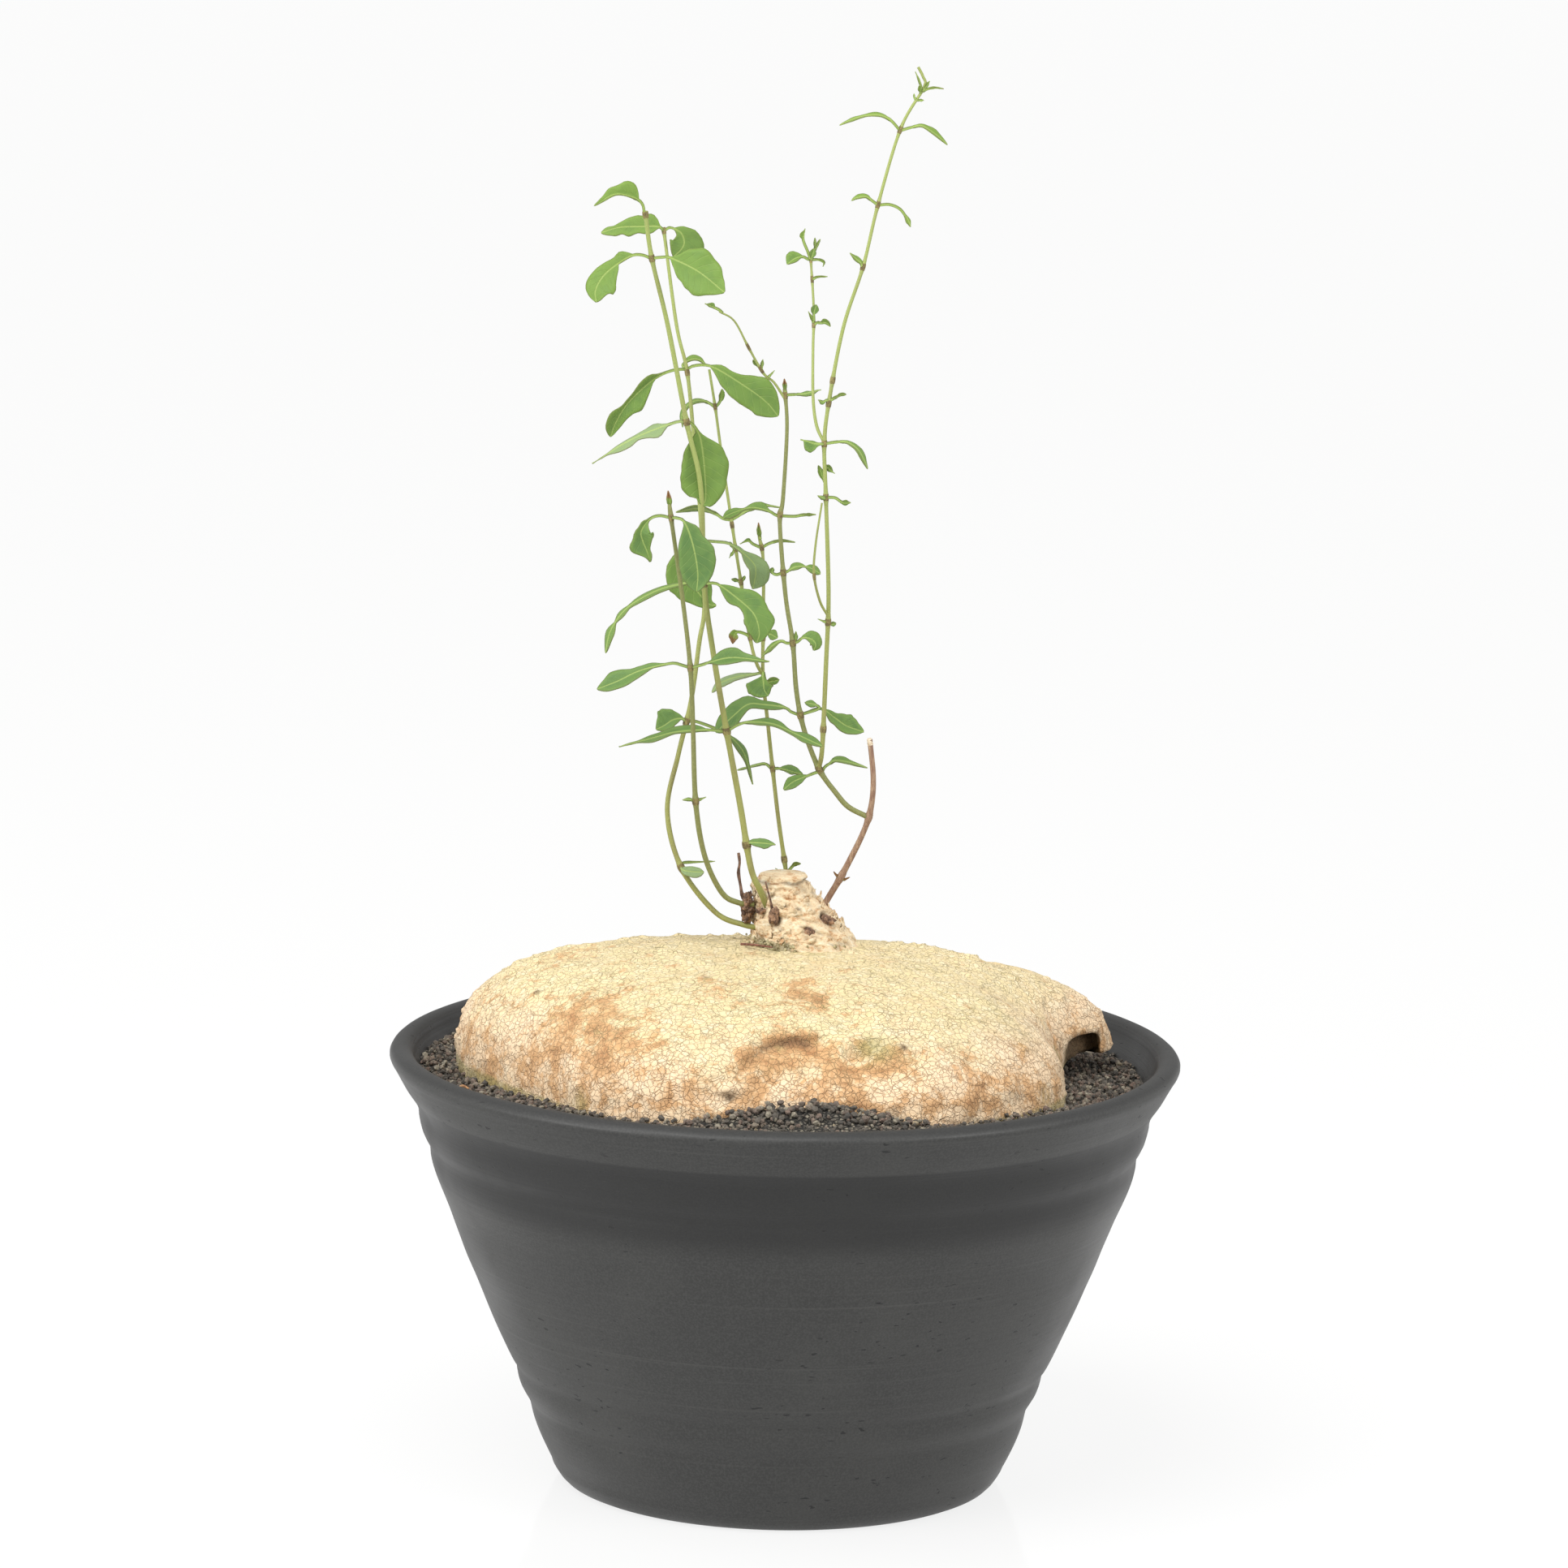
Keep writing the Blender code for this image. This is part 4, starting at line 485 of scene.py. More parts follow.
        (0, 0), 0.4),
    "bud_fork_1_left": ("twig_fork", 354.5, [(-0.5, 0, 1.2), (-1.7, 0, 3.4)], 0.1, [0.5, 0.4, 0.2], None,
        (0.2, 0), 0.2),
    "bud_fork_1_right": ("twig_fork", 354, [(1, 0, 0.6), (2.2, 0, 0.6), (3.7, 0, 0.7), (5, 0, -0.5)], 0.1,
        [0.4, 0.4, 1, 0.8, 0.5], [0.5, 0.5, 0.5, 0.6, 0.4], (0.4, 0), 0.5),
    "bud_fork_1_up": ("twig_fork", 355, [(0, -0.6, 2.6), (0.6, -0.6, 5)], 0.4, [0.9, 1.1, 0.9],
        [1, 1.3, 1], (0.4, 0), 0.75),
    "bud_fork_mid_right": ("twig_fork", 367, [(1.4, 0, 0.7), (4.6, 0, 0.9)], 0.15, [0.3, 0.3, 0.2],
        [0.2, 0.2, 0.2], (0.3, 0), 0.2),
    "bud_fork_2_right": ("twig_fork", 372.7, [(2.2, 0, 0), (3.9, 0, -0.8), (3.6, 0, -2)], 0.2,
        [0.3, 0.5, 0.5, 0.2], [0.2, 0.3, 0.3, 0.2], (0.3, 0), 0.4),
    "bud_fork_2_round": ("twig_fork", 372.7, [(0.4, -0.5, 1.2), (0.9, -0.5, 3.4)], 0.1, [0.7, 1, 0.8],
        None, (0.4, 0.2), 0.6),
    "bud_fork_top_left": ("twig_fork", 372.7, [(1.2, 0, 3.4), (1.1, 0, 6.6)], 0.5, [0.4, 0.5, 0.3],
        [0.4, 0.4, 0.3], (0.2, 0), 0.7),
    "bud_fork_top_right": ("twig_fork", 372.7, [(1.3, 0, 3.2), (2.7, 0, 6.2)], 0.5, [0.3, 0.4, 0.3],
        [0.4, 0.4, 0.3], (0.2, 0), 0.7),
    "bud_fork_high": ("twig_fork", 372.7, [(-1, 0, 2.5), (-2.1, 0, 5), (-2.4, 0, 6.4), (-1.9, 0, 9.3)],
        0.66, [1.1, 1, 0.4], [0.3, 0.2, 0.2], (0.3, 0), 0.1),
}


# ---------------------------------------------------------------------------------------------
# Small tools
# ---------------------------------------------------------------------------------------------

def between(table, value):
    """Height on a straight-sided curve through a table of (value, height)."""
    for (x0, y0), (x1, y1) in zip(table, table[1:]):
        if value <= x1:
            return y0 + (y1 - y0) * (value - x0) / (x1 - x0)
    return table[-1][1]


def around(table, turn):
    """Smooth closed curve through a table of (turn in degrees, value)."""
    turn %= 360.0
    count = len(table)
    i = max(n for n in range(count) if table[n][0] <= turn)
    turns = [table[(i + n) % count][0] + 360.0 * ((i + n) // count) for n in (-1, 0, 1, 2)]
    a, b, c, d = (table[(i + n) % count][1] for n in (-1, 0, 1, 2))
    span = turns[2] - turns[1]
    slope_b = (c - a) / (turns[2] - turns[0]) * span
    slope_c = (d - b) / (turns[3] - turns[1]) * span
    t = (turn - turns[1]) / span
    return (
        b * (2 * t**3 - 3 * t**2 + 1) + slope_b * (t**3 - 2 * t**2 + t)
        + c * (3 * t**2 - 2 * t**3) + slope_c * (t**3 - t**2)
    )


def ease(low, high, value):
    """Smooth rise from 0 at low to 1 at high."""
    t = min(1.0, max(0.0, (value - low) / (high - low)))
    return t * t * (3 - 2 * t)


def hump(distance, reach):
    """1 in the middle, falling away over the reach."""
    return math.exp(-((distance / reach) ** 2))


def spline_points(points, step):
    """Points about a step apart on a smooth curve through the given ones."""
    points = [Vector(p) for p in points]
    padded = [2 * points[0] - points[1]] + points + [2 * points[-1] - points[-2]]
    smooth = []
    for a, b, c, d in zip(padded, padded[1:], padded[2:], padded[3:]):
        count = max(1, round((c - b).length / step))
        for n in range(count):
            t = n / count
            smooth.append(
                0.5 * (2 * b + (c - a) * t + (2 * a - 5 * b + 4 * c - d) * t**2
                       + (3 * b - a - 3 * c + d) * t**3)
            )
    return smooth + [points[-1]]


def sideways(direction, along):
    """The part of a direction that points away from a stem, one unit long."""
    return (direction - along * direction.dot(along)).normalized()


def facing(direction):
    """A turn that points +Z along a direction."""
    return direction.to_track_quat("Z", "Y").to_matrix().to_4x4()


def piece(name, data, material, replaces=()):
    """An object of the plant or pot, with its material, on the one body of the frame."""
    made = bpy.data.objects.new(name, data)
    bpy.context.scene.collection.objects.link(made)
    data.materials.clear()
    data.materials.append(material)
    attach(made, BODY)
    if replaces:
        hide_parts(*replaces)
    return made


def repaint(node_name, material):
    """Gives a node of the frame a better material."""
    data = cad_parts[node_name].data
    data.materials.clear()
    data.materials.append(material)


def mesh_from(name, bm, smooth=True):
    """A mesh from a bmesh, which is freed."""
    mesh = bpy.data.meshes.new(name)
    bm.to_mesh(mesh)
    bm.free()
    if smooth:
        mesh.shade_smooth()
    return mesh


def pour(bm, whole):
    """Adds a bmesh to the whole, and frees it."""
    part = mesh_from("part", bm, smooth=False)
    whole.from_mesh(part)
    bpy.data.meshes.remove(part)


def turned(points, steps, closed=False):
    """A profile of points in millimetres turned round the upright axis."""
    bm = bmesh.new()
    verts = [bm.verts.new(p * MM) for p in points]
    following = verts[1:] + verts[:1] if closed else verts[1:]
    edges = [bm.edges.new(pair) for pair in zip(verts, following)]
    bmesh.ops.spin(bm, geom=verts + edges, cent=(0, 0, 0), axis=(0, 0, 1), dvec=(0, 0, 0),
                   angle=2 * math.pi, steps=steps, use_merge=True)
    bmesh.ops.remove_doubles(bm, verts=bm.verts, dist=SAME_PLACE)
    return bm


# ---------------------------------------------------------------------------------------------
# Node tools: a node goes into the tree of the sockets it is given
# ---------------------------------------------------------------------------------------------

def is_socket(value):
    return isinstance(value, bpy.types.NodeSocket)


def add_node(tree, kind, sockets=None, **settings):
    """A node with its settings, its constants, and links from the sockets given."""
    made = tree.nodes.new(kind)
    for key, value in settings.items():
        setattr(made, key, value)
    for key, value in (sockets or {}).items():
        if is_socket(value):
            tree.links.new(value, made.inputs[key])
        else:
            made.inputs[key].default_value = value
    return made


def remap(value, low, high, to_low=0.0, to_high=1.0):
    """The value stretched smoothly from one range to another, and held at the ends."""
    return add_node(value.id_data, "ShaderNodeMapRange", {
        "Value": value, "From Min": low, "From Max": high, "To Min": to_low, "To Max": to_high,
    }, interpolation_type="SMOOTHSTEP").outputs["Result"]


def maths(operation, a, b=0.0):
    """A calculation on one or two values, at least one of them a socket."""
    tree = (a if is_socket(a) else b).id_data
    return add_node(tree, "ShaderNodeMath", {0: a, 1: b}, operation=operation).outputs[0]


def plus(a, b):
    return maths("ADD", a, b)


def minus(a, b):
    return maths("SUBTRACT", a, b)


def times(a, b):
    return maths("MULTIPLY", a, b)


def most(a, b):
    return maths("MAXIMUM", a, b)


def vector_maths(operation, a, sockets, output="Vector"):
    made = add_node(a.id_data, "ShaderNodeVectorMath", {0: a, **sockets}, operation=operation)
    return made.outputs[output]


def blend(factor, a, b):
    """Colour a turned into colour b by the factor. Both may be plain colours or sockets."""
    a, b = (colour if is_socket(colour) else (*colour, 1.0) for colour in (a, b))
    return add_node(factor.id_data, "ShaderNodeMix", {0: factor, 6: a, 7: b}, data_type="RGBA").outputs[2]


def mottle(where, scale, detail, roughness=0.5, distortion=0.0):
    """Noise over a place."""
    return add_node(where.id_data, "ShaderNodeTexNoise", {
        "Vector": where, "Scale": scale, "Detail": detail, "Roughness": roughness,
        "Distortion": distortion}).outputs["Fac"]


def stretched(where, scale, turn=(0.0, 0.0, 0.0)):
    """A place scaled and turned, so that a pattern on it is drawn out."""
    return add_node(where.id_data, "ShaderNodeMapping", {
        "Vector": where, "Scale": scale, "Rotation": turn}).outputs["Vector"]


def split(where):
    """The X, Y and Z of a place."""
    return add_node(where.id_data, "ShaderNodeSeparateXYZ", {"Vector": where}).outputs


def attribute(made, name):
    """A value that the mesh carries at its vertices."""
    return add_node(made.node_tree, "ShaderNodeAttribute", attribute_name=name).outputs["Fac"]


def seen_directly(tree):
    """1 for what the camera sees, straight or in a reflection, and 0 for the light that falls."""
    seen = tree.nodes.new("ShaderNodeLightPath").outputs
    return most(most(seen["Is Camera Ray"], seen["Is Glossy Ray"]), seen["Is Transmission Ray"])


def start_material(name, roughness):
    """A material, and the Object coordinates that its patterns read."""
    made = bpy.data.materials.new(name)
    made.use_nodes = True
    shader_of(made).inputs["Roughness"].default_value = roughness
    return made, made.node_tree.nodes.new("ShaderNodeTexCoord").outputs["Object"]


def shader_of(made):
    return made.node_tree.nodes["Principled BSDF"]


def finish(made, colour, relief, distance, strength=1.0):
    """Gives a material its colour and its relief, and returns it."""
    tree, shader = made.node_tree, shader_of(made)
    tree.links.new(colour, shader.inputs["Base Color"])
    raised = add_node(tree, "ShaderNodeBump", {
        "Height": relief, "Distance": distance, "Strength": strength})
    tree.links.new(raised.outputs["Normal"], shader.inputs["Normal"])
    return made


# ---------------------------------------------------------------------------------------------
# Shared effects
# ---------------------------------------------------------------------------------------------

def effect_group(name, inputs, outputs):
    """An empty shader group: its inputs are a vector and floats with defaults, its outputs floats."""
    tree = bpy.data.node_groups.new(name, "ShaderNodeTree")
    tree.interface.new_socket(name="Vector", in_out="INPUT", socket_type="NodeSocketVector")
    for label, default in inputs.items():
        made = tree.interface.new_socket(name=label, in_out="INPUT", socket_type="NodeSocketFloat")
        made.default_value = default
    for label in outputs:
        tree.interface.new_socket(name=label, in_out="OUTPUT", socket_type="NodeSocketFloat")
    return tree, tree.nodes.new("NodeGroupInput").outputs, tree.nodes.new("NodeGroupOutput").inputs


def patches_group():
    """Soft-edged patches from noise: a mask that is 1 over the patches."""
    tree, given, wanted = effect_group(
        "Patches", {"Scale": 100.0, "Detail": 4.0, "From": 0.5, "To": 0.6}, ["Mask"])
    grain = mottle(given["Vector"], given["Scale"], given["Detail"], 0.6)
    tree.links.new(remap(grain, given["From"], given["To"]), wanted["Mask"])
    return tree


def cracks_group():
    """A net of fine lines between cells that wander a little: 1 on the lines."""
    tree, given, wanted = effect_group(
        "Cracks", {"Scale": 300.0, "Width": 0.05, "Wander": 0.001}, ["Lines", "Cells"])
    where, scale = given["Vector"], given["Scale"]
    drift = add_node(tree, "ShaderNodeTexNoise", {"Vector": where, "Scale": scale, "Detail": 2.0})
    centred = vector_maths("SUBTRACT", drift.outputs["Color"], {1: (0.5, 0.5, 0.5)})
    shift = vector_maths("SCALE", centred, {"Scale": given["Wander"]})
    place = vector_maths("ADD", where, {1: shift})
    edge, cell = (
        add_node(tree, "ShaderNodeTexVoronoi", {"Vector": place, "Scale": scale}, feature=feature).outputs
        for feature in ("DISTANCE_TO_EDGE", "F1"))
    tree.links.new(remap(edge["Distance"], 0.0, given["Width"], 1.0, 0.0), wanted["Lines"])
    shade = add_node(tree, "ShaderNodeSeparateColor", {"Color": cell["Color"]})
    tree.links.new(shade.outputs["Red"], wanted["Cells"])
    return tree


def effect(where, name, **sockets):
    """A node of the shared effect group of that name, which is built once."""
    builders = {"Patches": patches_group, "Cracks": cracks_group}
    group = bpy.data.node_groups.get(name) or builders[name]()
    sockets["Vector"] = where
    return add_node(where.id_data, "ShaderNodeGroup", sockets, node_tree=group).outputs


def patches(where, scale, detail, low, high):
    """The mask of the shared patches."""
    return effect(where, "Patches", Scale=scale, Detail=detail, From=low, To=high)["Mask"]


def cracks(where, scale, width, wander):
    """The lines of the shared cracks, and the shade of each cell between them."""
    made = effect(where, "Cracks", Scale=scale, Width=width, Wander=wander)
    return made["Lines"], made["Cells"]


# ---------------------------------------------------------------------------------------------
# Materials
# ---------------------------------------------------------------------------------------------

def glazed_clay(look):
    """Satin charcoal clay: fine turning lines, a faint haze, and pits drawn out by the turning, with painted
    shade in the pits, on the lip and on the inside.
    """
    made, where = start_material("charcoal_clay", look.roughness)
    shader_of(made).inputs["Specular IOR Level"].default_value = 0.45
    speck = mottle(where, 1500.0, 2.0)
    cloud = mottle(where, 28.0, 4.0)
    drawn = mottle(stretched(where, (5.0, 5.0, 700.0)), 1.0, 4.0)
    pale = [min(1.0, c * 1.25) for c in look.clay]
    dark = [c * 0.78 for c in look.clay]
    colour = blend(remap(speck, 0.35, 0.7), dark, pale)
    colour = blend(remap(cloud, 0.4, 0.75, 0.0, 0.3), colour, look.haze)
    colour = blend(remap(drawn, 0.6, 0.78, 0.0, 0.4), colour, look.haze)
    pits = patches(stretched(where, (1.0, 1.0, 3.2)), 260.0, 1.0, 0.70, 0.725)
    pit = times(pits, remap(cloud, 0.46, 0.6))
    # Painted shade: the pits are darkened towards near-black
    colour = blend(pit, colour, PAINTED_SHADE_BLACK)
    height = split(where)["Z"]
    lip = remap(height, *LIP_HEIGHTS)
    flat = vector_maths("MULTIPLY", where, {1: (1.0, 1.0, 0.0)})
    radius = vector_maths("LENGTH", flat, {}, "Value")
    inside = times(remap(radius, *INSIDE_RADII, 0.75, 0.0), remap(height, *INSIDE_HEIGHTS))
    # Painted shade: the lip's top and the inner wall are darkened towards near-black
    colour = blend(most(times(lip, 0.45), inside), colour, PAINTED_SHADE_BLACK)
    gloss = remap(cloud, 0.3, 0.7, look.roughness - 0.05, look.roughness + 0.08)
    made.node_tree.links.new(plus(gloss, times(lip, 0.25)), shader_of(made).inputs["Roughness"])
    relief = minus(plus(times(drawn, 0.8), times(speck, 0.12)), times(pit, 1.6))
    return finish(made, colour, relief, 0.00018, 0.8)


def dull_plastic():
    """Dull dark plastic of the drain screen."""
    made, where = start_material("screen_plastic", 0.6)
    grain = mottle(where, 900.0, 2.0)
    return finish(made, blend(grain, (0.055, 0.062, 0.055), (0.1, 0.11, 0.1)), grain, 0.0001, 0.4)


def grit_bed(look):
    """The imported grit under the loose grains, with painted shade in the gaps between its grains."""
    made, where = start_material("grit_bed", 0.95)
    lines, cells = cracks(where, 700.0, 0.3, 0.001)
    # Painted shade: near-black lines in the gaps between the grains
    colour = blend(lines, blend(cells, look.dark, look.pale), (0.004, 0.0035, 0.003))
    return finish(made, colour, minus(1.0, lines), 0.0006)


def grit_grain(look):
    """Loose grains: each has a tone of its own, from near black through brown to a few pale ones."""
    made, where = start_material("grit_grain", 0.9)
    ramp = add_node(made.node_tree, "ShaderNodeValToRGB", {"Fac": attribute(made, "tone")})
    stops = [
        (0.0, look.dark), (0.45, look.middle), (0.72, look.brown),
        (0.9, look.pale), (0.985, look.pale), (1.0, (0.34, 0.27, 0.17)),
    ]
    while len(ramp.color_ramp.elements) < len(stops):
        ramp.color_ramp.elements.new(0.5)
    for element, (place, colour) in zip(ramp.color_ramp.elements, stops):
        element.position = place
        element.color = (*colour, 1.0)
    grain = mottle(where, 2200.0, 3.0)
    colour = blend(remap(grain, 0.3, 0.7, 0.0, 0.5), ramp.outputs["Color"], (0.035, 0.031, 0.026))
    return finish(made, colour, grain, 0.0002, 0.8)


def tuber_skin(look):
    """Corky skin: cream above, orange-brown speckle below, crackled into small flakes, mossy in places."""
    made, where = start_material("tuber_skin", 0.8)
    broad = mottle(where, 45.0, 5.0)
    upper = remap(plus(split(where)["Z"], times(broad, 0.03)), 0.155, 0.176)
    colour = blend(upper, look.side, look.top)
    colour = blend(times(patches(where, 60.0, 6.0, 0.5, 0.66), 0.3), colour, look.tinge)

    lines, cells = cracks(where, 560.0, 0.07, 0.0016)
    colour = blend(remap(cells, 0.4, 1.0, 0.0, 0.4), colour, look.flake)
    patchy = mottle(where, 125.0, 9.0, 0.74, 0.4)
    # The rust mask holds the orange-brown mottling, and painted brown shade under the brow
    rust = times(attribute(made, "rust"), remap(broad, 0.3, 0.65, 0.55, 1.25))
    mixed = plus(times(patchy, 0.9), times(cells, 0.06))
    speckle = plus(plus(mixed, 0.02), times(rust, 0.255))
    colour = blend(remap(speckle, 0.56, 0.68, 0.0, 0.85), colour, look.rust)
    colour = blend(remap(speckle, 0.67, 0.82, 0.0, 0.8), colour, look.deep_rust)

    crack = times(cracks(where, 270.0, 0.05, 0.003)[0], patches(where, 130.0, 3.0, 0.42, 0.58))
    marked = times(patches(where, 240.0, 5.0, 0.62, 0.7), times(upper, 0.45))
    colour = blend(marked, colour, (0.46, 0.40, 0.16))
    hair = times(lines, minus(0.5, times(upper, 0.22)))
    crack_colour = blend(upper, (0.40, 0.22, 0.10), (0.46, 0.38, 0.17))
    colour = blend(most(times(crack, 0.6), hair), colour, crack_colour)
    green = plus(attribute(made, "moss"), times(patchy, 0.9))
    colour = blend(remap(green, 0.78, 1.3, 0.0, 0.65), colour, look.moss)
    shade = remap(attribute(made, "shade"), 0.05, 1.0, 0.0, 0.9)
    colour = blend(shade, colour, (0.13, 0.075, 0.04))

    relief = minus(times(mottle(where, 430.0, 6.0, 0.7), 1.1), times(crack, 0.5))
    relief = minus(plus(relief, times(cells, 0.25)), times(lines, 0.35))
    return finish(made, colour, relief, 0.0008, 0.9)


def neck_cork(look):
    """Flaky cork of the neck: cream plates with orange-brown crevices."""
    made, where = start_material("neck_cork", 0.85)
    layers = stretched(where, (260.0, 260.0, 560.0), (0.25, -0.35, 0.0))
    fine = mottle(where, 1100.0, 4.0)
    rough = plus(times(mottle(layers, 1.0, 6.0, 0.7), 0.75), times(fine, 0.25))
    colour = blend(remap(rough, 0.385, 0.505), look.crevice, look.cork)
    colour = blend(remap(rough, 0.5, 0.66), colour, look.cork_edge)
    moss = remap(plus(attribute(made, "moss"), fine), 0.8, 1.25, 0.0, 0.6)
    colour = blend(moss, colour, look.neck_moss)
    colour = blend(attribute(made, "shade"), colour, (0.075, 0.04, 0.022))
    return finish(made, colour, rough, 0.0018)


def dark_bark(name, dark, light):
    """Dry bark or fibre, from a dark to a light colour, for knots, twigs, litter and moss."""
    made, where = start_material(name, 0.85)
    grain = mottle(where, 700.0, 5.0, 0.7)
    return finish(made, blend(remap(grain, 0.38, 0.66), dark, light), grain, 0.0008, 0.8)


def green_stem(name, look, base, tip, tinged):
    """Smooth live stem, lighter towards the top, with a purplish-brown tinge in long patches."""
    made, where = start_material(name, 0.55)
    height = split(where)["Z"]
    tinge = remap(mottle(stretched(where, (240.0, 240.0, 42.0)), 1.0, 4.0), 0.45, 0.68)
    patch = times(tinge, remap(height, 0.2, 0.34, 1.0, 0.5))
    colour = blend(remap(height, 0.21, 0.33), base, tip)
    colour = blend(times(patch, tinged), colour, look.tinge)
    fine = mottle(where, 1600.0, 2.0)
    colour = blend(remap(fine, 0.45, 0.75, 0.0, 0.22), colour, look.pale)
    return finish(made, colour, fine, 0.0001, 0.5)


def woody_stem(look):
    """Reddish-brown bark that peels in fine lengthwise strips."""
    made, where = start_material("woody_stem", 0.75)
    strips = mottle(stretched(where, (1500.0, 1500.0, 160.0)), 1.0, 4.0, 0.6)
    return finish(made, blend(remap(strips, 0.35, 0.7), look.bark_dark, look.bark), strips, 0.0004, 0.8)


def leaf_green(look):
    """Leaf: pale midrib and side veins on mottled green, a reddish margin, older leaves darker."""
    made, where = start_material("leaf_green", 0.6)
    shader_of(made).inputs["Specular IOR Level"].default_value = 0.3
    flat = split(made.node_tree.nodes.new("ShaderNodeTexCoord").outputs["UV"])
    along = flat["Y"]
    away = times(maths("ABSOLUTE", minus(flat["X"], 0.5)), 2.0)
    off, rim, tone = (attribute(made, name) for name in ("off", "rim", "tone"))
    colour = blend(tone, look.young, look.old)
    cloud = mottle(where, 260.0, 4.0)
    inner = times(remap(rim, 0.1, 1.8), remap(tone, 0.0, 0.9, 0.25, 1.0))
    cloudy = plus(times(remap(cloud, 0.42, 0.66), 0.45), 0.35)
    colour = blend(times(inner, cloudy), colour, look.deep)
    slant = minus(times(along, 10.0), times(away, 1.7))
    wave = maths("ABSOLUTE", minus(maths("FRACT", slant), 0.5))
    side_veins = times(remap(wave, 0.0, 0.09, 1.0, 0.0), remap(plus(off, rim), 1.2, 3.5))
    colour = blend(times(side_veins, 0.16), colour, look.vein)
    # Paler underside colour and painted sheen on the leaves given it
    colour = blend(times(attribute(made, "bloom"), 0.6), colour, look.bloom)
    edge = remap(plus(rim, times(cloud, 0.3)), 0.15, 0.42, 0.35, 0.0)
    colour = blend(edge, colour, look.margin)
    midrib = remap(plus(off, times(along, 0.15)), 0.18, 0.42, 1.0, 0.0)
    colour = blend(times(midrib, 0.62), colour, look.vein)
    dried = plus(times(along, attribute(made, "dry")), cloud)
    colour = blend(remap(dried, 0.95, 1.25), colour, look.dry)
    relief = minus(times(cloud, 0.5), times(plus(side_veins, midrib), 0.6))
    return finish(made, colour, relief, 0.00016, 0.7)


# ---------------------------------------------------------------------------------------------
# Looks: what a user would change
# ---------------------------------------------------------------------------------------------

def colour_property(name, description, default):
    return FloatVectorProperty(
        name=name, description=description, subtype="COLOR", size=3, min=0.0, max=1.0, default=default)


class PotLook(bpy.types.PropertyGroup):
    clay: colour_property("Clay", "Colour of the charcoal clay", (0.028, 0.028, 0.0265))
    haze: colour_property("Haze", "Paler cloudiness of the clay", (0.060, 0.060, 0.056))
    roughness: FloatProperty(
        name="Roughness", description="Roughness of the satin surface", min=0.1, max=1.0, default=0.46)


class GritLook(bpy.types.PropertyGroup):
    dark: colour_property("Dark", "Darkest grains", (0.056, 0.051, 0.044))
    middle: colour_property("Middle", "Commonest grains", (0.135, 0.115, 0.092))
    brown: colour_property("Brown", "Reddish-brown grains", (0.19, 0.13, 0.10))
    pale: colour_property("Pale", "Greyer, paler grains", (0.30, 0.265, 0.20))
    grains: IntProperty(
        name="Grains", description="How many loose grains lie on top", min=0, max=9500, default=7500)
    size: FloatProperty(
        name="Grain size", description="Mean width of a grain", unit="LENGTH",
        min=0.0005, max=0.004, default=0.0019)


class TuberLook(bpy.types.PropertyGroup):
    top: colour_property("Top", "Cream of the upper skin", (0.78, 0.64, 0.36))
    side: colour_property("Side", "Pinkish tan of the lower skin", (0.83, 0.62, 0.40))
    tinge: colour_property("Tinge", "Warmer tinge in large patches", (0.76, 0.53, 0.28))
    rust: colour_property("Rust", "Orange-brown mottling", (0.61, 0.34, 0.145))
    deep_rust: colour_property("Deep rust", "Darkest mottling", (0.38, 0.18, 0.07))
    flake: colour_property("Flakes", "Pale flakes of skin", (0.87, 0.77, 0.56))
    moss: colour_property("Moss", "Green tint in hollows and at the grit", (0.30, 0.29, 0.10))
    neck_moss: colour_property("Neck moss", "Greyish moss at the foot of the neck", (0.20, 0.20, 0.11))
    cork: colour_property("Neck cork", "Plates of the neck", (0.84, 0.66, 0.42))
    cork_edge: colour_property("Neck edges", "Bright worn edges of the neck", (0.93, 0.84, 0.64))
    crevice: colour_property("Neck crevices", "Orange-brown crevices of the neck", (0.58, 0.33, 0.16))


class StemLook(bpy.types.PropertyGroup):
    olive: colour_property("Olive", "Olive of the three left stems", (0.27, 0.28, 0.075))
    light: colour_property("Light", "Light yellow-green of the youngest stems", (0.28, 0.335, 0.09))
    brown: colour_property("Brown", "Brownish olive of the stem on the stub", (0.19, 0.205, 0.062))
    tinge: colour_property("Tinge", "Brown-purple tinge of the live stems", (0.18, 0.145, 0.06))
    pale: colour_property("Pale", "Pale bloom on the live stems", (0.42, 0.42, 0.17))
    bark: colour_property("Bark", "Reddish bark of the old stem", (0.41, 0.28, 0.18))
    bark_dark: colour_property("Dark bark", "Dark lines in that bark", (0.24, 0.135, 0.09))


class LeafLook(bpy.types.PropertyGroup):
    young: colour_property("Young", "Yellow-green of the top leaves", (0.17, 0.275, 0.043))
    old: colour_property("Old", "Green of the lower leaves", (0.12, 0.21, 0.052))
    deep: colour_property("Deep", "Dark blue-green between the veins", (0.07, 0.145, 0.04))
    vein: colour_property("Veins", "Pale midrib and side veins", (0.33, 0.42, 0.12))
    # Paler underside colour and painted sheen of some leaves
    bloom: colour_property("Bloom", "Greyish green of dusty leaves", (0.30, 0.38, 0.20))
    margin: colour_property("Margin", "Reddish-brown edge of the blade", (0.15, 0.09, 0.055))
    dry: colour_property("Dry", "Brown of dried tips and buds", (0.20, 0.105, 0.04))
    thickness: FloatProperty(
        name="Thickness", description="Thickness of a blade", unit="LENGTH",
        min=0.0001, max=0.001, default=0.0003)


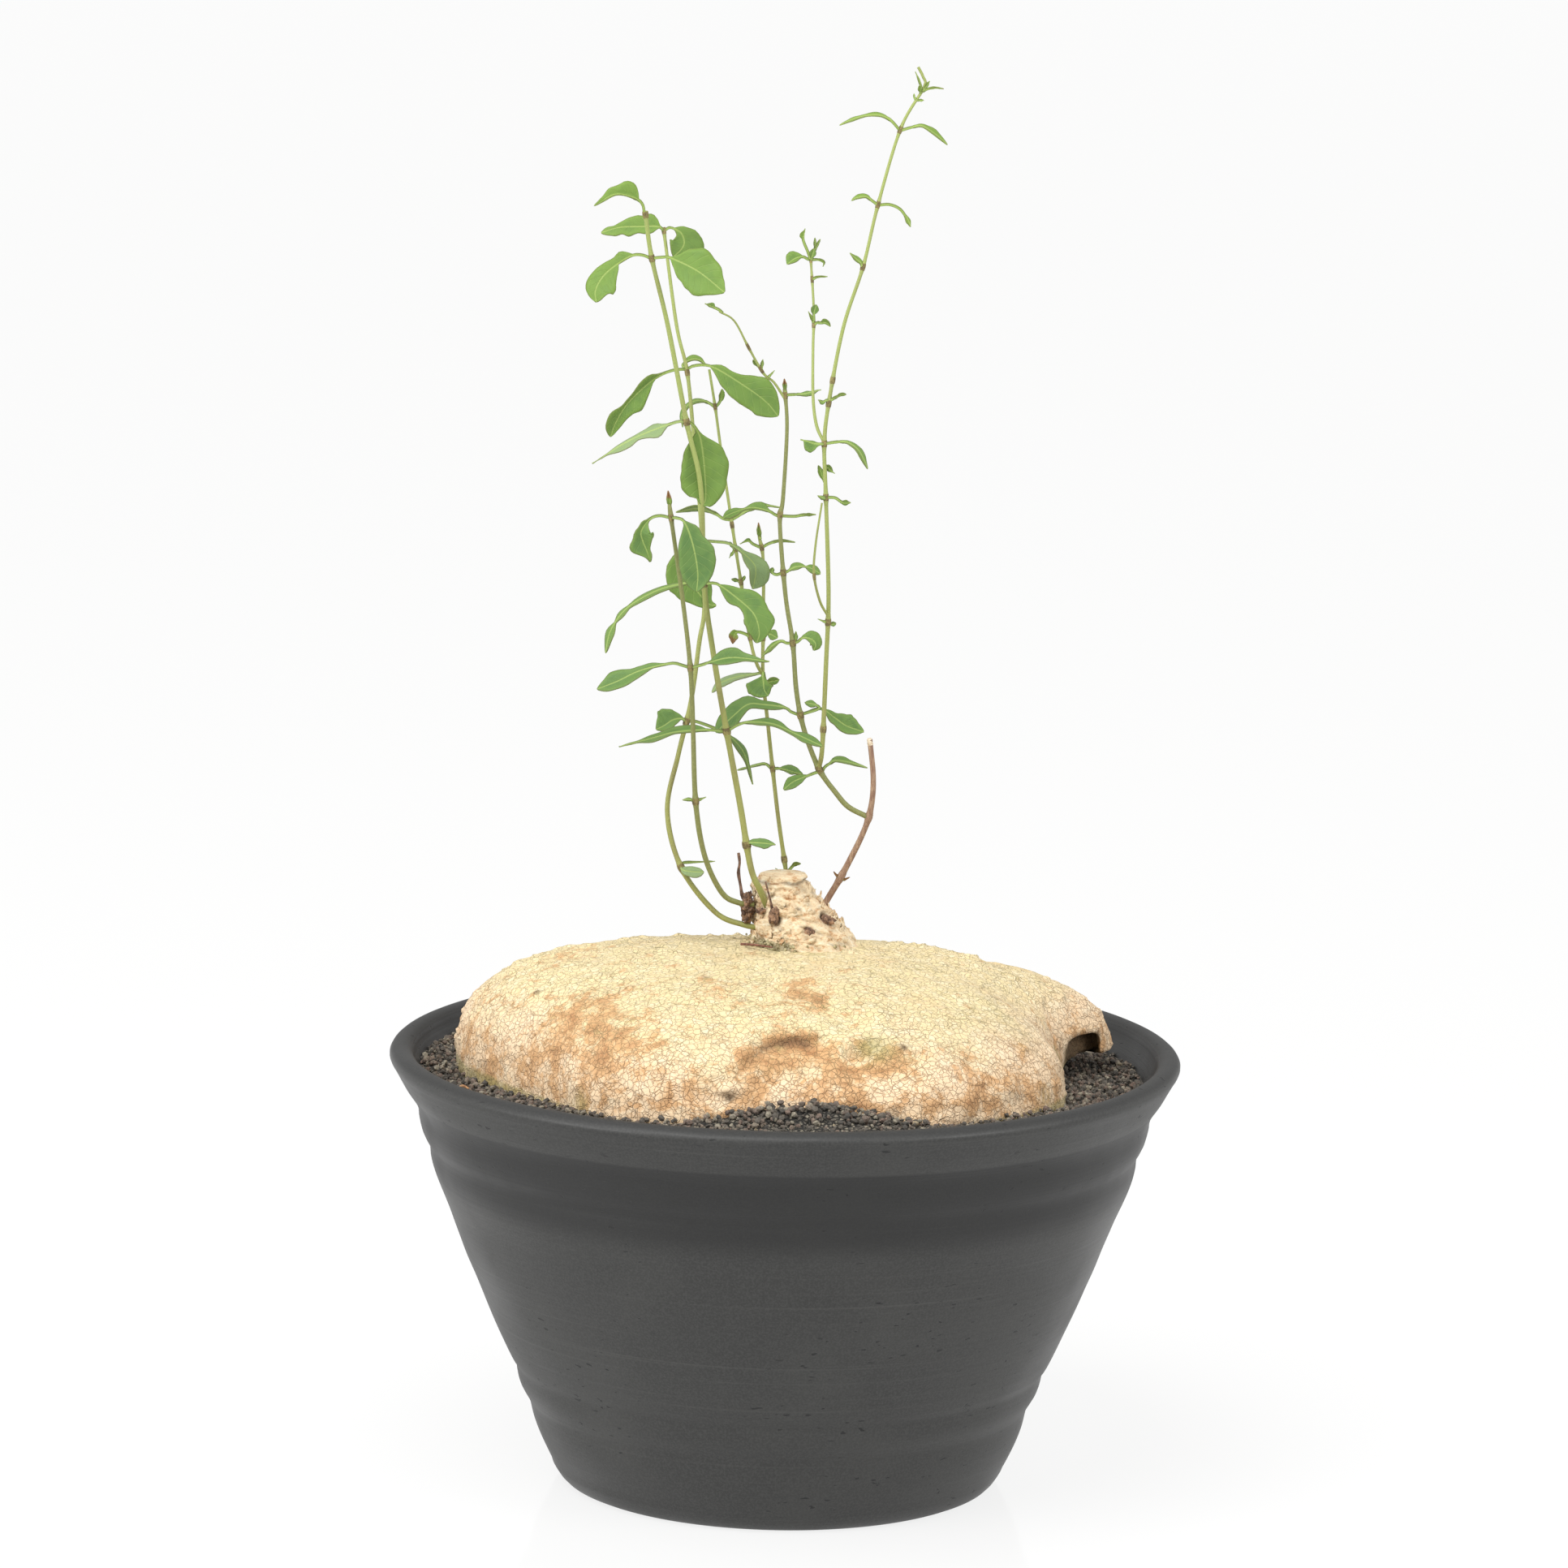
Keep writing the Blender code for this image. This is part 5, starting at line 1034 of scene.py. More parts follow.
class StageLook(bpy.types.PropertyGroup):
    floor: colour_property("Floor", "Colour of the floor", (0.86, 0.86, 0.85))
    sky: FloatProperty(
        name="Sky", description="Strength of the light from all round", min=0.0, max=2.0, default=0.62)
    key: FloatProperty(
        name="Key", description="Power of the large lamp above the front", min=0.0, default=38.0)
    right: FloatProperty(name="Right", description="Power of the lamp on the right", min=0.0, default=13.0)
    left: FloatProperty(name="Left", description="Power of the lamp on the left", min=0.0, default=16.0)


# ---------------------------------------------------------------------------------------------
# Stage
# ---------------------------------------------------------------------------------------------

class RAPHIONACME_OT_stage(bpy.types.Operator):
    """Sets up the pale floor, the soft lamps, the sky and the camera"""
    bl_idname = "raphionacme.stage"
    bl_label = "Stage"

    def execute(self, context):
        look = context.scene.raphionacme_stage
        context.scene.view_settings.view_transform = "Standard"
        self.add_floor(context, look)
        self.add_sky(context, look)
        for name, (place, size, power) in LAMPS.items():
            self.add_lamp(context, name, place, size, getattr(look, power))
        self.add_camera(context)
        return {"FINISHED"}

    def add_floor(self, context, look):
        bm = bmesh.new()
        bmesh.ops.create_grid(bm, x_segments=2, y_segments=2, size=FLOOR_HALF)
        floor = bpy.data.objects.new("floor", mesh_from("floor", bm, smooth=False))
        context.scene.collection.objects.link(floor)
        made, where = start_material("floor_board", 0.1)
        tree, shader = made.node_tree, shader_of(made)
        shade = [c * 0.98 for c in look.floor]
        colour = blend(mottle(where, 3.0, 2.0), look.floor, shade)
        tree.links.new(colour, shader.inputs["Base Color"])
        shader.inputs["Specular IOR Level"].default_value = 0.5
        glow = add_node(tree, "ShaderNodeEmission", {"Color": (1.0, 1.0, 0.998, 1.0), "Strength": 1.0})
        bright = times(seen_directly(tree), 0.82)
        mixed = add_node(tree, "ShaderNodeMixShader", {
            "Fac": bright, 1: shader.outputs["BSDF"], 2: glow.outputs["Emission"]})
        tree.links.new(mixed.outputs["Shader"], tree.nodes["Material Output"].inputs["Surface"])
        floor.data.materials.append(made)

    def add_sky(self, context, look):
        sky = bpy.data.worlds.new("studio_sky")
        sky.use_nodes = True
        tree = sky.node_tree
        light = tree.nodes["Background"].inputs
        tree.links.new(remap(seen_directly(tree), 0.0, 1.0, look.sky, 1.0), light["Strength"])
        light["Color"].default_value = (1.0, 1.0, 1.0, 1.0)
        context.scene.world = sky

    def add_lamp(self, context, name, place, size, power):
        lamp = bpy.data.lights.new(name, "AREA")
        lamp.shape = "DISK"
        lamp.size = size
        lamp.energy = power
        made = bpy.data.objects.new(name, lamp)
        context.scene.collection.objects.link(made)
        aim = Vector(LAMP_AIM) - Vector(place)
        made.matrix_world = Matrix.Translation(place) @ aim.to_track_quat("-Z", "Y").to_matrix().to_4x4()

    def add_camera(self, context):
        data = bpy.data.cameras.new("camera")
        data.sensor_width = 36.0
        data.lens = CAMERA_LENS
        data.clip_end = 50.0
        made = bpy.data.objects.new("camera", data)
        context.scene.collection.objects.link(made)
        pitch, roll = math.radians(90.0 - CAMERA_DOWN), math.radians(CAMERA_ROLL)
        turn = Matrix.Rotation(pitch, 4, "X") @ Matrix.Rotation(roll, 4, "Z")
        made.matrix_world = Matrix.Translation(CAMERA_PLACE) @ turn
        context.scene.camera = made


# ---------------------------------------------------------------------------------------------
# Pot
# ---------------------------------------------------------------------------------------------

class RAPHIONACME_OT_pot(bpy.types.Operator):
    """Turns the pot with its soft rings, and repaints the drain screen"""
    bl_idname = "raphionacme.pot"
    bl_label = "Pot"

    def execute(self, context):
        points = spline_points([(r, 0.0, z) for r, z in POT_PROFILE + POT_PROFILE[:1]], 1.6)[:-1]
        for point in points:
            point.z = max(0.0, point.z)
        bm = turned(points, POT_STEPS, closed=True)
        bmesh.ops.recalc_face_normals(bm, faces=bm.faces)
        for vertex in bm.verts:
            self.hand_turned(vertex)
        look = context.scene.raphionacme_pot
        piece("pot_shell", mesh_from("pot_shell", bm), glazed_clay(look), ["pot"])
        repaint("drain_screen", dull_plastic())
        return {"FINISHED"}

    def hand_turned(self, vertex):
        """Moves a wall vertex in by the small unevenness of hand turning."""
        across = math.hypot(vertex.co.x, vertex.co.y)
        if across < 0.06 or vertex.co.z < 0.006:
            return
        turn = math.atan2(vertex.co.y, vertex.co.x)
        drift = noise.noise(Vector((math.cos(turn), math.sin(turn), vertex.co.z * 60.0)))
        scale = 1 - 0.0003 * (1 + drift) / across
        vertex.co.x *= scale
        vertex.co.y *= scale


# ---------------------------------------------------------------------------------------------
# Grit
# ---------------------------------------------------------------------------------------------

def heaped(x, y):
    """How far a place lies on the heap of grit against the front of the tuber."""
    return hump(x - HEAP_X, HEAP_WIDTH) * hump(y - HEAP_Y, HEAP_DEPTH)


def soil_height(x, y):
    """Surface of the grit: low behind and on the right, near the rim in front, heaped on the tuber."""
    front = (SOIL_FRONT + SOIL_FALL * x) * ease(20.0, 80.0, -y)
    return SOIL_LEVEL - SOIL_FALL * x + front + HEAP_HEIGHT * heaped(x, y)


def tuber_reach(turn, height):
    """How far out the tuber's skin is at a turn and a height above its waist."""
    level = max(0.0, height - TUBER_WAIST)
    squareness = around(TUBER_SHOULDER, turn)
    rise = min(1.0, (level / TUBER_RISE) ** (squareness / 2))
    return around(TUBER_PLAN, turn) * math.sqrt(1 - rise * rise) ** (2 / squareness)


def pebble(rng):
    """An angular pebble about one unit across."""
    bm = bmesh.new()
    bmesh.ops.create_icosphere(bm, subdivisions=1, radius=0.5)
    squash = Vector((1.0, rng.uniform(0.7, 1.0), rng.uniform(0.55, 0.9)))
    for vertex in bm.verts:
        vertex.co = Vector(a * b for a, b in zip(vertex.co, squash)) * rng.uniform(0.8, 1.2)
    mesh = mesh_from("pebble", bm, smooth=False)
    mesh.attributes.new("tone", "FLOAT", "POINT")
    return mesh


def scatter(bm, template, matrix, tone):
    """Adds a copy of the template mesh, moved and with its own tone."""
    copy = template.copy()
    copy.transform(matrix)
    copy.attributes["tone"].data.foreach_set("value", [tone] * len(copy.vertices))
    bm.from_mesh(copy)
    bpy.data.meshes.remove(copy)


class RAPHIONACME_OT_grit(bpy.types.Operator):
    """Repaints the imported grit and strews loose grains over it"""
    bl_idname = "raphionacme.grit"
    bl_label = "Grit"

    def execute(self, context):
        look = context.scene.raphionacme_grit
        repaint("soil", grit_bed(look))
        rng = random.Random(11)
        pebbles = [pebble(rng) for _ in range(GRAIN_SHAPES)]
        whole = bmesh.new()
        batch = bmesh.new()
        for number in range(look.grains):
            place, width = self.spot(rng, look.size / MM)
            angle = rng.uniform(0, 6.3)
            turn = Matrix.Rotation(angle, 4, Vector([rng.gauss(0, 1) for _ in range(3)]))
            matrix = Matrix.Translation(place * MM) @ turn @ Matrix.Scale(width * MM, 4)
            scatter(batch, rng.choice(pebbles), matrix, rng.random())
            if number % GRAIN_BATCH == GRAIN_BATCH - 1:
                pour(batch, whole)
                batch = bmesh.new()
        pour(batch, whole)
        for template in pebbles:
            bpy.data.meshes.remove(template)
        piece("loose_grit", mesh_from("loose_grit", whole, smooth=False), grit_grain(look))
        return {"FINISHED"}

    def spot(self, rng, mean):
        """A place for a grain, on the grit between the pot and the tuber, and its width."""
        while True:
            turn = rng.uniform(0, 360)
            width = mean * rng.uniform(0.55, 1.0) * rng.choice((0.8, 1.0, 1.0, 1.25))
            radius = math.sqrt(rng.uniform(*(r * r for r in GRAIN_RING)))
            x, y = radius * math.cos(math.radians(turn)), radius * math.sin(math.radians(turn))
            height = soil_height(x, y)
            wall = between(INNER_WALL, height) - 0.5 * width
            if radius < tuber_reach(turn, height) - 0.6 or radius > wall:
                continue
            width *= 1 + 0.3 * heaped(x, y)
            lift = rng.uniform(*GRAIN_LIFT) * width + 0.5 * noise.noise(Vector((x, y, 0)) / 7.0)
            return Vector((x, y, height + lift)), width


# ---------------------------------------------------------------------------------------------
# Tuber and neck
# ---------------------------------------------------------------------------------------------

def tuber_form(direction):
    """Point of the tuber's plain form, in millimetres, for a unit direction from its waist's middle."""
    turn = math.degrees(math.atan2(direction.y, direction.x))
    across = math.hypot(direction.x, direction.y)
    radius = around(TUBER_PLAN, turn)
    off_lobe = (turn - LOBE_TURN + 180) % 360 - 180
    if direction.z < 0:
        level = -TUBER_DEPTH * abs(direction.z) ** (2 / TUBER_UNDER)
        spread = across ** (2 / TUBER_UNDER)
    else:
        squareness = around(TUBER_SHOULDER, turn) + 0.55 * hump(off_lobe, 22.0)
        level = TUBER_RISE * direction.z ** (2 / squareness)
        spread = across ** (2 / squareness)
    height = TUBER_WAIST + level
    above = min(1.0, max(0.0, (height - LOBE_FADE) / (LOBE_TOP - LOBE_FADE)))
    jut = ease(LOBE_FOOT, LOBE_FULL, height) * math.sqrt(1 - above * above)
    radius += LOBE_REACH * hump(off_lobe, LOBE_SPREAD) * jut
    angle = math.radians(turn)
    x, y = radius * spread * math.cos(angle), radius * spread * math.sin(angle)
    level -= TUBER_BACK_SLOPE * max(0.0, y) * max(0.0, level) / TUBER_RISE
    return Vector((x, y, TUBER_WAIST + level))


def brow(point):
    """Signed height above the brow's fold, and how near its run, for a point of the front."""
    if point.y > -50:
        return 0.0, 0.0
    low, high = BROW[0][0], BROW[-1][0]
    x = min(high, max(low, point.x))
    run = ease(low - 4.0, low + 4.0, point.x) * (1 - ease(high - 2.0, high + 6.0, point.x))
    return point.z - between(BROW, x), hump(point.x - x, 3.0) * run


def strongest(value, spots, point):
    """The value, or the strength of a spot over the point where that is more."""
    for centre, reach, strength in spots:
        value = max(value, strength * hump((point - Vector(centre)).length, reach))
    return value


def tuber_skin_at(direction):
    """The tuber's skin: its point, and how much orange-brown mottling (with painted brown shade under the
    brow), moss and shade it has.
    """
    point = tuber_form(direction)
    outward = (point - Vector((0, 0, TUBER_WAIST))).normalized()
    lift = 0.0
    for height, width, shift in SKIN_WAVES:
        lift += height * noise.noise(point / width + Vector(shift))
    for centre, reach, depth in DENTS:
        lift -= depth * hump((point - Vector(centre)).length, reach)
    lift += 2.6 * max(0.0, noise.noise(point / 3.0 + Vector((2, 7, 1))) - 0.3)
    front = ease(50.0, 80.0, -point.y) * hump(point.x - 18.0, 40.0)
    lift += 2.0 * front * noise.noise(point / 7.5 + Vector((5, 5, 5)))
    shade = rust = 0.0
    off, near = brow(point)
    if near > 0.0:
        for height, level, reach in (BROW_RIDGE, BROW_FOLD):
            lift += near * height * hump(off - level, reach)
        shade += near * (0.55 + 0.5 * noise.noise(point / 5)) * hump(off + 0.8, 1.5)
        # Painted shade: the rust mask also browns the skin under the brow's fold
        rust = near * hump(off + 1.2, 3.4)
    for centre, reach, height, dark in WARTS:
        away = (point - Vector(centre)).length
        if away < 3 * reach:
            lift += height * hump(away, reach)
            shade += max(0.0, dark) * hump(away, reach)
    rust = max(rust, 0.38 * ease(158, 138, point.z), 0.62 * front * ease(156, 148, point.z))
    rust = strongest(rust, RUST_PATCHES, point)
    moss = strongest(0.75 * ease(133.5, 129.5, point.z), MOSS_PATCHES, point)
    hollow = hollow_at(point)
    point.y += HOLLOW_DEPTH * hollow
    # The hollow is pushed back, greened with moss and darkened with painted shade
    return point + outward * lift, rust, max(moss, 0.9 * hollow), min(1.0, shade + 0.92 * hollow)


def hollow_at(point):
    """How deep a point lies in the dark hollow at the foot of the right lobe."""
    across, up = (point.x - HOLLOW_X) / HOLLOW_WIDTH, (point.z - HOLLOW_Z) / HOLLOW_HEIGHT
    hollow = 1 - ease(0.8, 1.08, (across ** 4 + up ** 4) ** 0.25)
    return hollow * (ease(126.0, 128.5, point.z) * (1 - ease(14.0, 30.0, point.y)))


def neck_at(height):
    """Centre x and radius of the neck at a height."""
    return between([(z, x) for z, x, _ in NECK], height), between([(z, r) for z, _, r in NECK], height)


class RAPHIONACME_OT_tuber(bpy.types.Operator):
    """Grows the tuber's wrinkled skin, its corky neck, knots, scar and flakes, moss and litter"""
    bl_idname = "raphionacme.tuber"
    bl_label = "Tuber"

    def execute(self, context):
        look = context.scene.raphionacme_tuber
        self.add_tuber(look)
        cork = neck_cork(look)
        self.add_neck(cork)
        self.add_flakes(cork)
        self.add_scar(cork)
        self.add_knots()
        self.add_moss()
        self.add_litter()
        return {"FINISHED"}

    def add_tuber(self, look):
        bm = bmesh.new()
        bmesh.ops.create_uvsphere(bm, u_segments=224, v_segments=112, radius=1.0)
        seen = [f for f in bm.faces if self.in_front(f.calc_center_median())]
        edges = list({e for f in seen for e in f.edges})
        bmesh.ops.subdivide_edges(bm, edges=edges, cuts=1, use_grid_fill=True)
        layers = [bm.verts.layers.float.new(name) for name in ("rust", "moss", "shade")]
        for vertex in bm.verts:
            skin, *values = tuber_skin_at(vertex.co.normalized())
            vertex.co = skin * MM
            for layer, value in zip(layers, values):
                vertex[layer] = value
        piece("tuber", mesh_from("tuber", bm), tuber_skin(look), ["caudex"])

    def in_front(self, middle):
        """Whether a face of the unit sphere lies where the skin needs finer relief."""
        return middle.y < 0.35 and -0.05 < middle.z < 0.97

    def add_neck(self, cork):
        """The neck: rings up its height, roughened into slanting plates, with holes."""
        bm = bmesh.new()
        bmesh.ops.create_cone(bm, cap_ends=True, segments=120, radius1=1.0, radius2=1.0, depth=1.0)
        uprights = [e for e in bm.edges if abs(e.verts[0].co.z - e.verts[1].co.z) > 0.5]
        bmesh.ops.subdivide_edges(bm, edges=uprights, cuts=70)
        for cap in [f for f in bm.faces if len(f.verts) > 4]:
            bmesh.ops.poke(bm, faces=[cap])
        shade_layer = bm.verts.layers.float.new("shade")
        moss_layer = bm.verts.layers.float.new("moss")
        low, high = NECK[0][0], NECK[-1][0]
        for vertex in bm.verts:
            height = low + (high - low) * (vertex.co.z + 0.5)
            centre, radius = neck_at(height)
            place = Vector((centre + vertex.co.x * radius, vertex.co.y * radius, height))
            outward = Vector((vertex.co.x, vertex.co.y, 0.0))
            rough, shade = self.cork_relief(place)
            vertex.co = (place + outward * rough) * MM
            vertex[shade_layer] = min(1.0, shade)
            green = ease(172.5, 167.5, height + 2.0 * noise.noise(place / 3.0))
            vertex[moss_layer] = green * (0.8 * hump(place.x + 5.0, 5.0) + 0.3)
        piece("neck", mesh_from("neck", bm), cork)

    def cork_relief(self, place):
        """How far the cork stands out at a place of the neck, and how dark it is there."""
        slant = Vector((place.x / 6.0, place.y / 6.0, (place.z + 0.3 * place.x) / 2.6))
        plates = abs(noise.noise(slant)) * 2.0 - 0.7
        rough = 0.85 * plates + 0.5 * noise.noise(place / 2.6) + 0.3 * noise.noise(place / 1.1)
        rough *= 1 - 0.5 * ease(CAP_CREASE, CAP_CREASE + 1.0, place.z)
        crease = hump(place.z - CAP_CREASE - 0.8 * noise.noise(place / 5.0), 0.4)
        rough -= 0.7 * crease
        shade = ease(-0.2, -0.8, rough) * 0.35 + 0.25 * crease
        for hole, reach, depth in NECK_HOLES:
            away = (place - Vector(hole)).length
            rough -= depth * hump(away, reach)
            shade = max(shade, 1.3 * hump(away, reach))
        return rough, shade

    def add_flakes(self, cork):
        """Small curled plates of cork that stand off the neck."""
        rng = random.Random(5)
        whole = bmesh.new()
        for _ in range(FLAKES):
            height = rng.uniform(*FLAKE_HEIGHTS)
            turn = rng.uniform(0, 2 * math.pi)
            centre, radius = neck_at(height)
            outward = Vector((math.cos(turn), math.sin(turn), 0.0))
            place = Vector((centre + outward.x * radius, outward.y * radius, height))
            if any((place - Vector(hole)).length < 2 * reach for hole, reach, _ in NECK_HOLES):
                continue
            bm = bmesh.new()
            bmesh.ops.create_grid(bm, x_segments=3, y_segments=2, size=0.5)
            length, width = rng.uniform(*FLAKE_LENGTHS), rng.uniform(*FLAKE_WIDTHS)
            for vertex in bm.verts:
                ragged = 1 + 0.35 * noise.noise(vertex.co * 3 + place)
                vertex.co = Vector((vertex.co.x * length * ragged, vertex.co.y * width * ragged, 0.0))
                vertex.co.z = 0.4 * noise.noise(vertex.co / 1.3 + place)
            bmesh.ops.solidify(bm, geom=bm.faces[:], thickness=FLAKE_THICKNESS)
            lean, tip, spin = (
                Matrix.Rotation(rng.gauss(mean, spread), 4, axis)
                for mean, spread, axis in ((0.0, 0.16, "X"), (0.0, 0.12, "Y"), (0.35, 0.45, "Z")))
            foot = Matrix.Translation((place + outward * (0.15 - 0.55 * max(0.0, outward.x))) * MM)
            matrix = foot @ facing(outward) @ spin @ lean @ tip @ Matrix.Scale(MM, 4)
            bmesh.ops.transform(bm, matrix=matrix, verts=bm.verts)
            pour(bm, whole)
        bmesh.ops.recalc_face_normals(whole, faces=whole.faces)
        piece("neck_flakes", mesh_from("neck_flakes", whole), cork)

    def add_scar(self, cork):
        """A round ringed scar on the front of the neck."""
        bm = turned([Vector((r, 0.0, z)) for r, z in SCAR_PROFILE], 28)
        bmesh.ops.edgeloop_fill(bm, edges=[e for e in bm.edges if e.is_boundary])
        bmesh.ops.recalc_face_normals(bm, faces=bm.faces)
        for vertex in bm.verts:
            vertex.co += vertex.co.normalized() * 0.22 * MM * noise.noise(vertex.co * 900)
        matrix = Matrix.Translation(Vector(SCAR_CENTRE) * MM) @ facing(Vector(SCAR_FACING))
        bmesh.ops.transform(bm, matrix=matrix, verts=bm.verts)
        piece("neck_scar", mesh_from("neck_scar", bm), cork)

    def add_knots(self):
        """The dark burl on the left of the neck, and smaller ones round its holes."""
        bark = dark_bark("knot_bark", (0.08, 0.045, 0.03), (0.42, 0.25, 0.15))
        for number, (centre, radii) in enumerate(KNOTS, 1):
            bm = bmesh.new()
            bmesh.ops.create_icosphere(bm, subdivisions=5 if number == 1 else 4, radius=1.0)
            for vertex in bm.verts:
                point = Vector(a * b for a, b in zip(vertex.co, radii))
                rough = 1 + 0.5 * noise.noise(point / 1.6 + Vector(centre)) + 0.3 * noise.noise(point / 0.6)
                vertex.co = (Vector(centre) + point * rough) * MM
            name = f"neck_knot_{number}"
            piece(name, mesh_from(name, bm), bark)

    def add_moss(self):
        """Grey-green tufts in the corner between the neck and the tuber."""
        rng = random.Random(8)
        tufts = bmesh.new()
        template = pebble(rng)
        for _ in range(TUFTS):
            turn = math.radians(rng.gauss(-126, 13) if rng.random() < 0.88 else rng.uniform(-175, -30))
            reach = rng.uniform(*MOSS_RING)
            x, y = MOSS_X + reach * math.cos(turn), reach * math.sin(turn)
            place = Vector((x, y, rng.uniform(*MOSS_HEIGHTS))) * MM
            matrix = Matrix.Translation(place) @ Matrix.Scale(rng.uniform(*MOSS_WIDTHS) * MM, 4)
            scatter(tufts, template, matrix, rng.random())
        bpy.data.meshes.remove(template)
        moss = dark_bark("neck_moss", (0.24, 0.20, 0.10), (0.62, 0.55, 0.33))
        piece("neck_moss", mesh_from("neck_moss", tufts), moss)

    def add_litter(self):
        """A dry needle on the tuber and a chip of bark on the grit."""
        bark = dark_bark("dry_needle", (0.10, 0.04, 0.025), (0.26, 0.11, 0.07))
        piece("needle", tube("needle", NEEDLE, 0.42, 0.25, 1.5), bark)
        chip = dark_bark("dry_chip", (0.30, 0.14, 0.06), (0.62, 0.36, 0.18))
        piece("bark_chip", tube("bark_chip", CHIP, 0.55, 0.3, 0.6), chip)


# ---------------------------------------------------------------------------------------------
# Stems
# ---------------------------------------------------------------------------------------------

def round_curve(name):
    """An empty curve, round in section, with filled ends; radii are in millimetres."""
    data = bpy.data.curves.new(name, "CURVE")
    data.dimensions = "3D"
    data.bevel_depth = MM
    data.bevel_resolution = 3
    data.use_fill_caps = True
    return data


def tube(name, route, foot_radius, tip_radius, step, joints=()):
    """A round tapering tube along a route, swollen at its joints."""
    data = round_curve(name)
    points = spline_points(route, step)
    spline = data.splines.new("POLY")
    spline.points.add(len(points) - 1)
    for i, (place, point) in enumerate(zip(points, spline.points)):
        share = i / (len(points) - 1)
        swelling = 1 + SWELLING * max([hump(place.z - joint, JOINT_REACH) for joint in joints], default=0.0)
        uneven = 1 + 0.05 * noise.noise(place / 5.0)
        point.co = (*(place * MM), 1.0)
        point.radius = (foot_radius + (tip_radius - foot_radius) * share) * swelling * uneven
    return data


def stem_at(route, radii, height):
    """Place, direction and radius of a stem where it passes a height."""
    points = spline_points(route, 2.0)
    for i, (a, b) in enumerate(zip(points, points[1:])):
        if a.z <= height <= b.z:
            share = (height - a.z) / (b.z - a.z)
            radius = radii[0] + (radii[1] - radii[0]) * i / (len(points) - 1)
            return a.lerp(b, share), (b - a).normalized(), radius
    raise ValueError(f"no stem at {height} mm")


def grown_stems():
    """Every stem's route and radii, branches included, from foot to tip."""
    grown = {name: (route, (foot, tip)) for name, (foot, tip, route) in STEMS.items()}
    for name, (parent, height, foot, tip, rest) in BRANCHES.items():
        place, along, radius = stem_at(*grown[parent], height)
        start = place + sideways(Vector(rest[0]) - place, along) * 0.4 * radius
        grown[name] = ([tuple(start)] + rest, (foot, tip))
    return grown


class RAPHIONACME_OT_stems(bpy.types.Operator):
    """Grows the live stems, the cut stub and the dead twigs, swollen at their joints"""
    bl_idname = "raphionacme.stems"
    bl_label = "Stems"

    def execute(self, context):
        look = context.scene.raphionacme_stem
        greens = {
            "olive": green_stem("stem_olive", look, look.olive, look.light, 0.5),
            "light": green_stem("stem_light", look, look.olive, look.light, 0.4),
            "brown": green_stem("stem_brown", look, look.brown, look.brown, 0.34),
        }
        woody = woody_stem(look)
        dead = dark_bark("dead_twig", (0.08, 0.045, 0.03), (0.26, 0.15, 0.10))
        for name, (route, radii) in grown_stems().items():
            data = tube(name + "_skin", route, *radii, 1.2, JOINTS.get(name, ()))
            if name in WOODY:
                material, slot = dead if name.startswith("dead") else woody, "woody_stem"
            else:
                material, slot = greens[STEM_SHADES.get(name, "light")], "green_stem"
            piece(name + "_skin", data, material, [name])
        self.add_collars()
        cut = dark_bark("cut_wood", (0.55, 0.42, 0.28), (0.85, 0.75, 0.58))
        piece("stub_cut", tube("stub_cut", STUB_CUT, 0.9, 0.72, 0.5), cut)
        return {"FINISHED"}

    def add_collars(self):
        """Brown collars round the joints of the live stems."""
        data = round_curve("stem_collars")
        rises = (-1.0, -0.5, 0.0, 0.5, 1.0)
        for name, (route, radii) in grown_stems().items():
            for height in () if name in WOODY else JOINTS.get(name, ()):
                spline = data.splines.new("POLY")
                spline.points.add(len(rises) - 1)
                for point, rise in zip(spline.points, rises):
                    place, _, radius = stem_at(route, radii, min(height + rise, route[-1][2] - 0.1))
                    point.co = (*(place * MM), 1.0)
                    point.radius = radius * (1.07 + SWELLING * hump(rise, JOINT_REACH))
        brown = dark_bark("collar_brown", (0.13, 0.10, 0.04), (0.30, 0.25, 0.09))
        piece("stem_collars", data, brown)


# ---------------------------------------------------------------------------------------------
# Leaves
# ---------------------------------------------------------------------------------------------

def half_width(widths, share):
    """Half width of a blade at a share of its length: smooth through the widths, round at the ends."""
    squares = [0.0, 0.0] + [w * w for w in widths] + [0.0, 0.0]
    place = share * (len(widths) + 1)
    i = min(int(place), len(widths))
    a, b, c, d = squares[i:i + 4]
    t = place - i
    smooth = b + 0.5 * t * (c - a + t * (2 * a - 5 * b + 4 * c - d + t * (3 * b - a - 3 * c + d)))
    return math.sqrt(max(0.0, smooth))


def walk(points):
    """A function from a share of a route's length to the place and the direction there."""
    lengths = [0.0]
    for a, b in zip(points, points[1:]):
        lengths.append(lengths[-1] + (b - a).length)

    def at(share):
        goal = share * lengths[-1]
        i = min(max(1, bisect.bisect_left(lengths, goal)), len(points) - 1)
        part = (goal - lengths[i - 1]) / (lengths[i] - lengths[i - 1])
        ahead, behind = points[min(i + 1, len(points) - 1)], points[max(i - 2, 0)]
        return points[i - 1].lerp(points[i], part), (ahead - behind).normalized()

    return at


def share_at(row):
    """Share of a leaf's length at a row of its grid, from -1 to 1, with the rows closer at the tip."""
    return 1 - ((1 - row) / 2) ** 1.6


